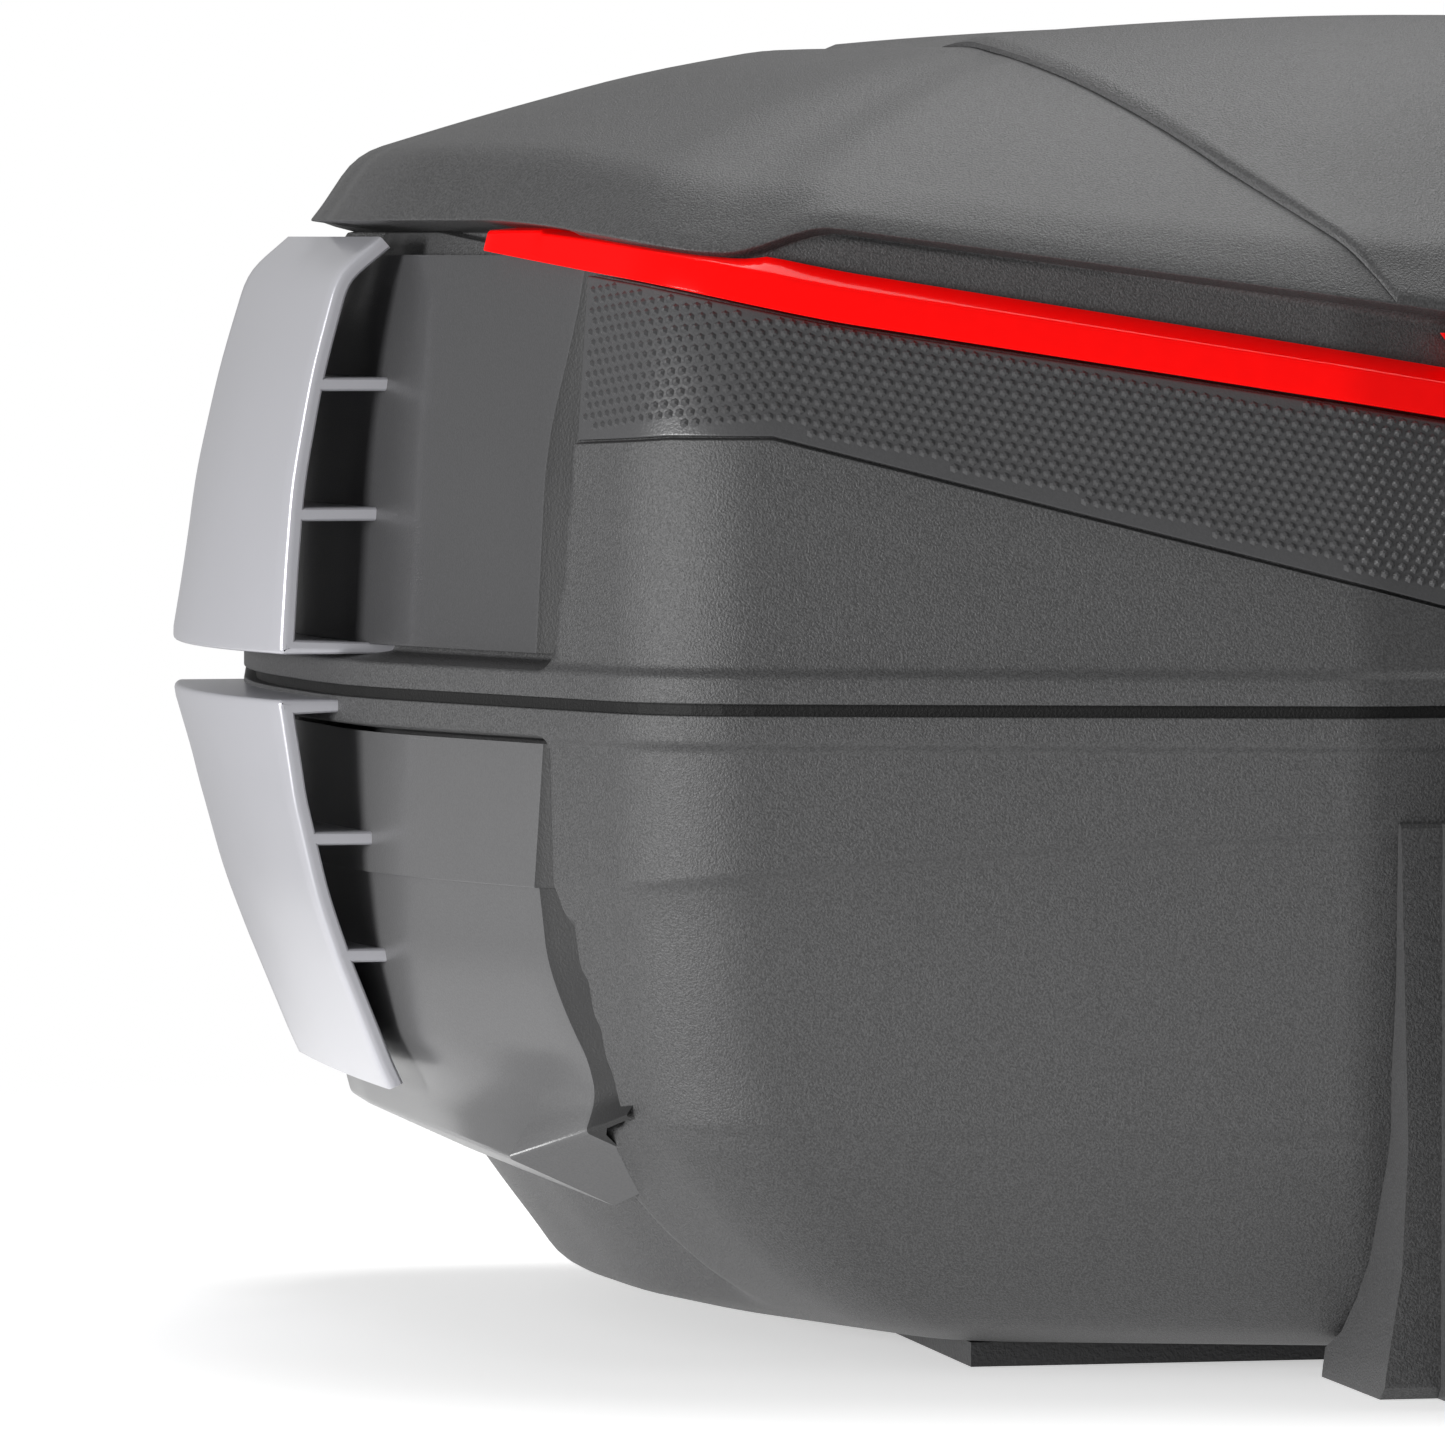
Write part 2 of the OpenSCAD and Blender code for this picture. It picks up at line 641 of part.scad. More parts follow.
// One leaf: its plate bears on the rim and a pad under it bears on the wall
module lid_leaf() {
    difference() {
        union() {
            translate([-hinge_l / 2, body_front + fit, hinge_z + knuckle_r + clear])
                cube([hinge_l, leaf_t, lid_leaf_top - hinge_z - knuckle_r - clear]);
            translate([-knuckle_l / 2 + clear / 2, body_front + fit, hinge_z])
                cube([knuckle_l - clear, hinge_y - body_front - fit, knuckle_r]);
            translate([-knuckle_l / 2 + clear / 2, body_front + fit, hinge_z])
                cube([knuckle_l - clear, leaf_t, knuckle_r + 1]);
            knuckle(-knuckle_l / 2 + clear / 2, knuckle_l - clear);
        }
        pin_bore();
        leaf_holes(lid_screw_z);
        translate([-hinge_l, body_front - 1, hinge_z - 10])
            cube([2 * hinge_l, 1 + clear, 10 + seam_gap / 2 + 0.6]);
    }
}
module base_leaf() {
    difference() {
        union() {
            translate([-hinge_l / 2, body_front + fit, base_leaf_bottom])
                cube([hinge_l, leaf_t, hinge_z - knuckle_r - clear - base_leaf_bottom]);
            for (x = [-hinge_l / 2, knuckle_l / 2 + clear / 2]) {
                translate([x, body_front + fit, hinge_z - knuckle_r])
                    cube([knuckle_l - clear / 2, hinge_y - body_front - fit, knuckle_r]);
                translate([x, body_front + fit, hinge_z - knuckle_r - 1])
                    cube([knuckle_l - clear / 2, leaf_t, knuckle_r + 1]);
                knuckle(x, knuckle_l - clear / 2);
            }
        }
        pin_bore();
        leaf_holes(base_screw_z);
    }
}
module lid_hinge_leaves() {
    color(black) at_hinges() lid_leaf();
}
module base_hinge_leaves() {
    color(black) at_hinges() base_leaf();
}
module hinge_pin() {
    translate([-hinge_l / 2, hinge_y, hinge_z])
        rotate([0, 90, 0]) cylinder(r = hinge_pin_r, h = hinge_l);
}
module hinge_pin_left() {
    color(steel) translate([-hinge_x, 0, 0]) hinge_pin();
}
module hinge_pin_right() {
    color(steel) translate([hinge_x, 0, 0]) hinge_pin();
}
// A pan-head screw through a leaf into the wall behind it
module leaf_screws(z) {
    at_hinges() for (x = [-1, 1])
        translate([x * hinge_l / 3, body_front + fit + leaf_t, z]) rotate([90, 0, 0]) {
            translate([0, 0, -head_h]) cylinder(r = head_r, h = head_h);
            cylinder(r = screw_r, h = leaf_t + wall_back + 5);
        }
}
module lid_screws() {
    color(steel) leaf_screws(lid_screw_z);
}
module base_screws() {
    color(steel) leaf_screws(base_screw_z);
}

// ---- Latch ----

flap_y = -block_rear + flap_t / 2 + 1.5;    // axis of the flap's pivot
flap_knuckle_r = 4.4;
rail_half = flap_half + 5.4;                // outer faces of the rails beside the flap
hook_y = -block_rear + 14;
hook_z = flap_pivot_z + 52;
hook_half = 12;
cavity_y = -body_rear - 3;      // front wall of the latch cavity
key_z = flap_pivot_z + 30;
key_l = flap_t + 4;
button_z = 16;
button_l = 10;
spring_gap = 12;                // length of the button spring at rest
bolt_end = 34;                  // length of the bolt's plain end
neck_l = 8;
bolt_rod_r = 5;
bolt_tip_y = -168;
slot_y = -188;                  // rear of the slot that takes the rack's hook
slot_l = 7;
slot_half = 6;
strike_h = 6;

module along_x(y, z, r, x0, x1) {
    translate([x0, y, z]) rotate([0, 90, 0]) cylinder(r = r, h = x1 - x0);
}
module forward(y0, y1, z, r) {
    translate([0, y0, z]) rotate([-90, 0, 0]) cylinder(r = r, h = y1 - y0);
}

lid_strike_z = lid_z + 0.4;
module lid_striker() {
    color(steel)
        translate([-hook_half - 4, -body_rear - 7, lid_strike_z])
            cube([2 * hook_half + 8, 7 - fit, strike_h]);
}

// Side view of the housing: its rear at a distance, the base's wall in front, a bevel at the top
module housing_side(rear, bevel) {
    back = 0.2;
    wall = [for (r = base_rows(0)) if (r[3] < block_h && r[3] > plate_t) [r[1] - body_rear - back, r[3]]];
    top = lookup(block_h, [[crease_z(0), 4], [seam_z - rim_h - 2, 2]]) - body_rear - back;
    last_y = wall[len(wall) - 1].x;
    polygon(concat([[-rear, 3], [-rear, block_h - bevel], [-rear + bevel, block_h], [top, block_h]],
        wall, [[last_y, 0], [-rear + 3, 0]]));
}
// Rear view of the block: narrow at mid height and flared at its foot
block_rear_view = [
    [block_half, 0], [block_half - 1, 8], [block_half - 4.5, 30], [block_half - 6, 60], [block_half - 4, block_h]
];
module latch_housing() {
    color(body) difference() {
        union() {
            intersection() {
                translate([-block_half, 0, 0]) rotate([90, 0, 90])
                    linear_extrude(2 * block_half) housing_side(block_face, 1);
                translate([0, block_rear, 0]) rotate([90, 0, 0])
                    linear_extrude(2 * block_rear)
                        polygon(concat(block_rear_view, [for (i = [4 : -1 : 0])
                            [-block_rear_view[i].x, block_rear_view[i].y]]));
            }
            translate([-rail_half, 0, 0]) rotate([90, 0, 90])
                linear_extrude(2 * rail_half) housing_side(block_rear, 5);
        }
        translate([-flap_half - clear, -block_rear - 1, flap_pivot_z - 6])
            cube([2 * (flap_half + clear), cavity_y + block_rear + 1, block_h]);
        along_x(flap_y, flap_pivot_z, latch_pin_r + running, -rail_half - 1, rail_half + 1);
        along_x(hook_y, hook_z, latch_pin_r + running, -rail_half - 1, rail_half + 1);
        forward(-block_rear - 1, -block_rear + button_l + spring_gap, button_z, button_r + running);
        forward(-block_rear, bolt_tip_y + button_travel + 1, button_z, bolt_rod_r + running);
        translate([-slot_half, slot_y, -1]) cube([2 * slot_half, slot_l, button_z + bolt_rod_r + 1]);
    }
}

module latch_flap() {
    color(body) difference() {
        union() {
            translate([-flap_half, -block_rear, flap_pivot_z])
                cube([2 * flap_half, flap_t, flap_top - flap_pivot_z]);
            for (x = [-flap_half, 8])
                along_x(flap_y, flap_pivot_z, flap_knuckle_r, x, x + flap_half - 8);
        }
        along_x(flap_y, flap_pivot_z, latch_pin_r + running, -flap_half - 1, flap_half + 1);
        translate([-8, -block_rear - 1, flap_pivot_z - 1]) cube([16, flap_t + 2, 7]);
        forward(-block_rear - 1, -block_rear + flap_t + 1, key_z, key_r + running);
    }
}
module flap_pin() {
    color(steel) along_x(flap_y, flap_pivot_z, latch_pin_r, -rail_half, rail_half);
}
module hook_pin() {
    color(steel) along_x(hook_y, hook_z, latch_pin_r, -rail_half, rail_half);
}
// Coil of the flap's torsion spring, wound round its pin
module flap_spring() {
    wire = 0.7;
    turns = 8;
    color(steel)
        for (i = [0 : turns - 1])
            translate([-7 + wire + i * (14 - 2 * wire) / (turns - 1), flap_y, flap_pivot_z])
                rotate([0, 90, 0]) rotate_extrude() translate([latch_pin_r + wire + 0.3, 0]) circle(r = wire);
}

module latch_hook() {
    arm_t = 5;
    nose_z = lid_strike_z + strike_h + 0.4;
    color(steel) difference() {
        union() {
            along_x(hook_y, hook_z, 5, -hook_half, hook_half);
            translate([-hook_half, hook_y - arm_t / 2, hook_z])
                cube([2 * hook_half, arm_t, nose_z + 3.5 - hook_z]);
            translate([-hook_half, hook_y - arm_t / 2, nose_z])
                cube([2 * hook_half, -body_rear - 1.5 - hook_y + arm_t / 2, 3.5]);
        }
        along_x(hook_y, hook_z, latch_pin_r + running, -hook_half - 1, hook_half + 1);
    }
}

module key_cylinder() {
    color(steel) difference() {
        forward(-block_rear + 0.3, -block_rear + key_l, key_z, key_r);
        translate([-0.8, -block_rear - 1, key_z - 4]) cube([1.6, 5, 8]);
    }
}

module release_button() {
    color(lens_red) forward(-block_rear, -block_rear + button_l, button_z, button_r);
}
// The bolt stands on the button; its neck frees the rack's hook when it is pushed in
module carrier_bolt() {
    neck_y = slot_y - neck_l - 1;
    color(steel) {
        forward(-block_rear + button_l, neck_y, button_z, bolt_rod_r - 0.6);
        forward(neck_y, neck_y + neck_l, button_z, bolt_rod_r - 2.5);
        forward(neck_y + neck_l, bolt_tip_y, button_z, bolt_rod_r);
    }
}
module button_spring() {
    wire = 0.6;
    turns = 6;
    color(steel)
        for (i = [0 : turns - 1])
            translate([0, -block_rear + button_l + wire + i * (spring_gap - 2 * wire) / (turns - 1), button_z])
                rotate([90, 0, 0]) rotate_extrude() translate([button_r - wire - 0.4, 0]) circle(r = wire);
}

// ---- Underside ----

module mounting_plate() {
    slot_w = 40;
    slot_d = 8;
    color(black) difference() {
        translate([-plate_w / 2, -plate_l / 2, 0]) cube([plate_w, plate_l, plate_t - fit]);
        for (x = [-bolt_x / 2, bolt_x / 2], y = [-bolt_y / 2, bolt_y / 2])
            translate([x, y, -1]) cylinder(r = bolt_r, h = plate_t + 2);
        for (x = [-1, 1])
            translate([x * 60 - slot_w / 2, plate_l / 2 - 26, -1]) cube([slot_w, slot_d, plate_t + 2]);
        for (x = [-30, 30], y = [-plate_l / 2 + 16, 40]) translate([x, y, -1]) {
            cylinder(r = screw_r + running, h = plate_t + 2);
            cylinder(r = head_r + running, h = 1 + head_h + 1);
        }
    }
}
module plate_screws() {
    color(steel)
        for (x = [-30, 30], y = [-plate_l / 2 + 16, 40]) translate([x, y, 1]) {
            cylinder(r = head_r, h = head_h - 0.6);
            cylinder(r = screw_r, h = plate_t + 1);
        }
}

lid_shell();
lid_center_cover();
reflector_left();
reflector_right();
center_lens();
textured_band_left();
textured_band_right();
duct_panel_upper_left();
duct_panel_upper_right();
wing_upper_left();
wing_upper_right();
lid_striker();
lid_hinge_leaves();
lid_screws();
base_shell();
duct_panel_lower_left();
duct_panel_lower_right();
wing_lower_left();
wing_lower_right();
lid_seal();
floor_mat();
base_hinge_leaves();
hinge_pin_left();
hinge_pin_right();
base_screws();
latch_housing();
latch_flap();
flap_pin();
flap_spring();
latch_hook();
hook_pin();
key_cylinder();
release_button();
button_spring();
carrier_bolt();
mounting_plate();
plate_screws();
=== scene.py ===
import bpy
import bmesh
import math
from mathutils import Matrix, Vector


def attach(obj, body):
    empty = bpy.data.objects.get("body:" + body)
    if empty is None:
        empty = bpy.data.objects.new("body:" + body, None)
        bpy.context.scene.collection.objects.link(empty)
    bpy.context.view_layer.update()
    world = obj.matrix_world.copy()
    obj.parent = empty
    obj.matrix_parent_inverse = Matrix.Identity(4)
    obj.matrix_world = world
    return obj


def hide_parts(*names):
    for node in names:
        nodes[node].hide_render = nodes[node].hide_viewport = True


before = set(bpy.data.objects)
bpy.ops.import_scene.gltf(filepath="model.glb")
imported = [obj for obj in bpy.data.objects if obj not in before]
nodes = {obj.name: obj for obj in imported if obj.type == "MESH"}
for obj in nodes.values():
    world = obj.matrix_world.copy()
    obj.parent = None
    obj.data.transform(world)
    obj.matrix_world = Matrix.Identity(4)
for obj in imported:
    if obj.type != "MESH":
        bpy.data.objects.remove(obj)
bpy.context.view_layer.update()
mm = 0.001

# the case's own sizes, in millimetres, as the construction has them
case = {
    "halfWidth": 276, "rear": 197, "front": 212,       # seam outline
    "seam": 161, "gap": 4, "rim": 6.5, "wall": 4,
    "eave": 278, "shoulder": 321, "dish": 317,
    "ductRear": -104, "ductFront": 118, "ductDepth": 12.5, "ductFade": 10,
    "flat": 52, "floor": 6,
}
lidFoot = case["seam"] + case["gap"]
hub = (case["halfWidth"], case["rear"], case["front"])  # insets that reach the centre


def lookup(x, table):  # straight lines between the points of a small table
    if x <= table[0][0]:
        return table[0][1]
    for (x0, y0), (x1, y1) in zip(table, table[1:]):
        if x <= x1:
            return y0 + (y1 - y0) * (x - x0) / (x1 - x0)
    return table[-1][1]


def ease(x, x0, x1):  # 0 before x0, 1 after x1, smooth between
    t = min(1, max(0, (x - x0) / (x1 - x0)))
    return t * t * (3 - 2 * t)


def smoothLookup(x, table):  # the same as lookup, eased between the points
    if x <= table[0][0]:
        return table[0][1]
    for (x0, y0), (x1, y1) in zip(table, table[1:]):
        if x <= x1:
            return y0 + (y1 - y0) * ease(x, x0, x1)
    return table[-1][1]


# seam outline: right half, from the rear centre to the front centre
def cornerArc(before, corner, after, radius, steps):
    u = (before - corner).normalized()
    w = (after - corner).normalized()
    half = u.angle(w) / 2
    centre = corner + (u + w).normalized() * radius / math.sin(half)
    reach = radius / math.tan(half)
    start = corner + u * reach - centre
    turn = start.angle(corner + w * reach - centre)
    way = 1 if start.cross(corner + w * reach - centre) > 0 else -1
    return [centre + Matrix.Rotation(way * turn * i / steps, 2) @ start for i in range(steps + 1)]


def outlinePoints():
    half, rear, front = case["halfWidth"], case["rear"], case["front"]
    corners = [
        (0, -rear, 0), (case["flat"], -rear, 30), (half - 64, 47 - rear, 45),
        (half - 8, -25, 160), (half, 70, 300), (half - 24, front, 55), (0, front, 0),
    ]
    spots = [Vector(c[:2]) for c in corners]
    points = []
    for i, (x, y, radius) in enumerate(corners):
        if radius:
            points += cornerArc(spots[i - 1], spots[i], spots[i + 1], radius, 14)
        else:
            points.append(spots[i])
    fine = []
    for a, b in zip(points, points[1:]):  # 4 mm apart, 1 mm where the duct's ends are
        count = max(1, math.ceil((b - a).length / 4))
        for k in range(count):
            p, q = a.lerp(b, k / count), a.lerp(b, (k + 1) / count)
            fine.append(p)
            mid = (p + q) / 2
            nearDuct = -131 < mid.y < -95 or abs(mid.y - case["ductFront"] - 5) < 9
            if mid.x > 150 and nearDuct:
                fine += [p.lerp(q, i / 4) for i in (1, 2, 3)]
    return fine + [points[-1]]


stations = outlinePoints()
arcLength = [0]
for a, b in zip(stations, stations[1:]):
    arcLength.append(arcLength[-1] + (b - a).length)


def stationAt(s):  # outline point at a length along it
    for i in range(1, len(stations)):
        if s <= arcLength[i]:
            t = (s - arcLength[i - 1]) / (arcLength[i] - arcLength[i - 1])
            return stations[i - 1].lerp(stations[i], t)
    return stations[-1]


ductLean = [(67, 12), (90, 6.6), (114, -2), (127, -3), (172, -3.4), (190, 1), (225, 4.7), (263, 6.7)]


def ductShare(y, z):  # how much of the duct recess applies; its rear edge leans with the height
    edge = case["ductRear"] - 5 - lookup(z, ductLean)
    rear = ease(y, edge, edge + 5)
    return rear * (1 - ease(y, case["ductFront"], case["ductFront"] + case["ductFade"]))


def tuck(y, z):  # the roof's side draws in towards the front, from just under the eave up
    along = smoothLookup(y, [(-40, 0), (0, 2), (30, 6), (70, 11.5), (118, 16.5)])
    return along * smoothLookup(z, [(243, 0), (276, 1), (290, 1), (306, 0.65), (321, 0.35)])


def pinch(y, z):  # the base's side draws in under the ducts
    low = smoothLookup(z, [(12, 0), (18, 13), (32, 22), (45, 27), (60, 27), (61.5, 26), (64, 0)])
    return low * ease(y, -102, -78)


def placed(p, side, rear, front, z, recess):  # an outline point moved in, at a height
    side += (tuck(p.y, z) + pinch(p.y, z)) * ease(p.x, 0, 200)
    x = p.x * (1 - (side + recess * ductShare(p.y, z)) / case["halfWidth"])
    y = p.y * (1 - (rear / case["rear"] if p.y < 0 else front / case["front"]))
    return Vector((x, y, z))


def reach(p):  # rear feature lines fall to the centre, front ones stay level
    wide = case["halfWidth"] - 30
    if p.x >= wide:
        return p.x
    return p.x + (wide - p.x) * lookup(p.y, [(0, 0), (120, 1)])


# heights of the lid's feature lines, over the distance from the centre plane
def bandLine(x):
    return min(lidFoot + 13 + 0.255 * x, lidFoot + 61, lidFoot + 80 - 0.09 * x)


def lensLine(x):
    return min(case["eave"] - 3, lidFoot + 61 + 0.155 * x + 4 * (max(0, x - 170) / 60) ** 1.5)


def eaveLine(x):  # lower edge of the brow: the ridge over the recess, then the edge over the reflector
    return smoothLookup(x, [(0, 252.7), (172, 276.2), (197, 270.3), (245, case["eave"])]) if x > 172 \
        else 252.7 + 0.1366 * x


def browLine(x):  # soft crease above the eave
    return eaveLine(x) + smoothLookup(x, [(150, 3), (197, 15), (245, 17)])


def lensInset(x):  # how far the reflector's foot lies in from the seam outline
    return 5 + (lensLine(x) - bandLine(x)) * 0.36


def recessDepth(x):  # how deep the dark channel under the ridge runs
    return smoothLookup(x, [(165, 1), (199, 0)])


def lidProfile(x):
    b, l, e, brow = bandLine(x), lensLine(x), eaveLine(x), browLine(x)
    lensIn = lensInset(x)
    deep = recessDepth(x)
    rise = case["shoulder"] - e
    d = case["ductDepth"]
    z0 = lidFoot + case["rim"] + 0.6  # foot of the wall, above the rim
    # side inset, rear inset, front inset, height, duct recess, corner radius
    return [
        (0, 0, 0, lidFoot - 1.2, 0, 0.6),
        (0, 0, 0, lidFoot + case["rim"] - 1.5, 0, 1.5),
        (2, 2, 2, z0, d, 1.5),
        (2.6, 2.9, 2.6, z0 + (b - z0) * 0.3, d, 6),
        (3.3, 3.95, 3.3, z0 + (b - z0) * 0.65, d, 6),
        (4, 5, 4, b, d, 0.3),
        (6, 7, 4, b + 0.5, d, 0.2),
        (8.5, (9 + lensIn) / 2, 6.5, (b + l) / 2, d, 4),
        (11, lensIn + 2, 9, l, d, 0.4),
        (14, lensIn + 9, 10, l + 0.5, d, 0.6),
        (14, lensIn + 11.5, 10, e - 3, d, 2.0),
        (8, 27 + 4 * deep, 8, e - 1.5, d * 0.5, 1.0),
        (4, 25, 4, e, 0, 1.2),
        (7, 28, 7, e + 4, 0, 3.0),
        (16, 35 + 6 * ease(x, 150, 245), 20, max(brow, e + rise * 0.2), 0, 10.0),
        (48, 72, 50, e + rise * 0.61, 0, 30.0),
        (90, 103, 90, e + rise * 0.87, 0, 30.0),
        (124, 134, 124, case["shoulder"] + 0.5, 0, 12.0),
        (146, 150, 146, case["dish"], 0, 6.0),
        (*hub, case["dish"], 0, 0),
    ]


def lidLining(x):
    b, l, e = bandLine(x), lensLine(x), eaveLine(x)
    t, d = case["wall"], case["ductDepth"]
    lensIn = lensInset(x)
    rise = case["shoulder"] - e
    return [
        (12 + t, 12 + t, 12 + t, lidFoot - 1.2, 0, 0.6),
        (12 + t, 12 + t, 12 + t, lidFoot + case["rim"] - 1, 0, 1.0),
        (3 + t, 3 + t, 3 + t, lidFoot + case["rim"] + 6, d, 3.0),
        (7 + t, 9 + t, 5 + t, b - 2, d, 10.0),
        (14 + t, lensIn + 10 + t, 10 + t, l - t, d, 6.0),
        (15 + t, lensIn + 13 + t, 11 + t, e - 5, d, 6.0),
        (30 + t, 60 + t, 32 + t, e + rise * 0.40 - t, 0, 20.0),
        (90 + t, 103 + t, 90 + t, e + rise * 0.80 - t, 0, 30.0),
        (146, 150, 146, case["dish"] - t, 0, 12.0),
        (*hub, case["dish"] - t, 0, 0),
    ]


def creaseLine(x):
    return case["seam"] - 26 - 12 * (x / 200) ** 2


def baseProfile(x):
    c, low, d = creaseLine(x), case["floor"], case["ductDepth"]
    return [
        (0, 0, 0, case["seam"], 0, 0.6),
        (0, 0, 0, case["seam"] - case["rim"], 0, 1.5),
        (2, 2, 2, case["seam"] - case["rim"] - 2, d, 1.5),
        (3, 3.2, 3, c, d, 1.0),
        (4, 5, 4, c - 2.5, d, 2.0),
        (5.3, 7.2, 5.3, 112, d, 6.0),
        (7, 10, 7, 98, d, 6.0),
        (8.8, 12.4, 8.4, 87, d, 5.0),
        (11, 15, 10, 76, d, 5.0),
        (13, 15.9, 10.6, 69, d, 3.0),
        (15, 16.8, 11.2, 62.5, d * 0.25, 2.0),
        (16.5, 18.2, 12.3, 60, 0, 1.5),
        (19, 19, 14, 56, 0, 4.0),
        (30, 24, 20, 45, 0, 8.0),
        (44, 30, 28, 32, 0, 10.0),
        (60, 37, 36, 21, 0, 12.0),
        (80, 46, 46, 12, 0, 12.0),
        (106, 62, 62, low + 0.3, 0, 12.0),
        (122, 76, 76, low, 0, 4.0),
        (*hub, low, 0, 0),
    ]


def baseLining(x):
    t, low, d = case["wall"], case["floor"] + case["wall"], case["ductDepth"]
    return [
        (12 + t, 12 + t, 12 + t, case["seam"], 0, 0.6),
        (12 + t, 12 + t, 12 + t, case["seam"] - case["rim"] + 1, 0, 1.0),
        (3 + t, 3 + t, 3 + t, case["seam"] - case["rim"] - 6, d, 3.0),
        (7 + t, 10 + t, 7 + t, 98, d, 12.0),
        (12 + t, 16 + t, 11 + t, 76, d, 10.0),
        (34 + t, 26 + t, 23 + t, 48, 0, 14.0),
        (66 + t, 39 + t, 38 + t, 24, 0, 14.0),
        (112 + t, 72 + t, 72 + t, low, 0, 14.0),
        (*hub, low, 0, 0),
    ]


# mesh helpers
def filleted(path, radii, steps=4):  # a polyline with its corners rounded
    done = [path[0]]
    for before, corner, after, radius in zip(path, path[1:], path[2:], radii[1:]):
        u, w = before - corner, after - corner
        cut = min(radius * 0.7, u.length * 0.45, w.length * 0.45)
        if cut < 1e-4:
            done += [corner] * (steps + 1)
            continue
        start, end = corner + u.normalized() * cut, corner + w.normalized() * cut
        for k in range(steps + 1):
            t = k / steps
            done.append(start * (1 - t) ** 2 + corner * 2 * t * (1 - t) + end * t * t)
    return done + [path[-1]]


def rounded(table):  # a small table as a smooth curve, without waves between its points
    curve = filleted([Vector((a, b, 0)) for a, b in table], [60] * len(table), 6)
    return [(v.x, v.y) for v in curve]


ductLean = rounded(ductLean)


def finish(name, bm, material, body, replaced=(), smooth=True, angle=None):
    bmesh.ops.remove_doubles(bm, verts=bm.verts, dist=2e-6)
    bmesh.ops.recalc_face_normals(bm, faces=bm.faces)
    mesh = bpy.data.meshes.new(name)
    bm.to_mesh(mesh)
    bm.free()
    for face in mesh.polygons:
        face.use_smooth = smooth
    if angle:
        mesh.set_sharp_from_angle(angle=math.radians(angle))
    mesh.materials.append(material)
    obj = bpy.data.objects.new(name, mesh)
    bpy.context.scene.collection.objects.link(obj)
    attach(obj, body)
    if replaced:
        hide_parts(*replaced)
    return obj


def gridOf(bm, columns):  # a bmesh grid shaped to columns of points
    across, up = len(columns), len(columns[0])
    made = bmesh.ops.create_grid(bm, x_segments=across - 1, y_segments=up - 1, size=1)["verts"]
    for k, vert in enumerate(made):
        vert.co = columns[k % across][k // across] * mm
    return made


def mirroredColumns(columns):  # right half to the whole ring, closed
    flipped = [[Vector((-p.x, p.y, p.z)) for p in column] for column in reversed(columns)]
    return columns + flipped[1:]


def shellColumns(outer, lining):
    columns = []
    for p in stations:
        x = reach(p)
        rows = list(reversed(lining(x))) + outer(x)
        path = [placed(p, *row[:5]) for row in rows]
        columns.append(filleted(path, [row[5] for row in rows]))
    return mirroredColumns(columns)


def barColumns(spots, section, radii):  # closed cross-sections along a run of stations
    columns = []
    for p in spots:
        loop = section(p)
        start = (loop[0] + loop[-1]) / 2
        columns.append(filleted([start] + loop + [start], [0] + radii + [0]))
    return columns


def capped(bm, edge=0.5):  # close the open ends and round their rims
    bmesh.ops.remove_doubles(bm, verts=bm.verts, dist=2e-6)
    rims = [e for e in bm.edges if e.is_boundary]
    if not rims:
        return
    bmesh.ops.holes_fill(bm, edges=rims, sides=0)
    bmesh.ops.recalc_face_normals(bm, faces=bm.faces)
    sharp = [e for e in rims if e.is_valid and len(e.link_faces) == 2]
    bmesh.ops.bevel(bm, geom=sharp, offset=edge * mm, offset_type="OFFSET", segments=3, profile=0.5,
                    affect="EDGES", material=-1, clamp_overlap=True)


def flipX(bm):  # the left-hand copy of a right-hand piece
    bmesh.ops.scale(bm, vec=(-1, 1, 1), verts=bm.verts)
    bmesh.ops.reverse_faces(bm, faces=bm.faces)


def paired(name, build, material, body, angle=None):
    done = []
    for side in ("left", "right"):
        bm = bmesh.new()
        build(bm)
        if side == "left":
            flipX(bm)
        node = f"{name}_{side}"
        done.append(finish(node + "_skin", bm, material, body, (node,), angle=angle))
    return done


# materials, all procedural on object coordinates
def newMaterial(name):
    material = bpy.data.materials.new(name)
    material.use_nodes = True
    return material, material.node_tree.nodes, material.node_tree.links


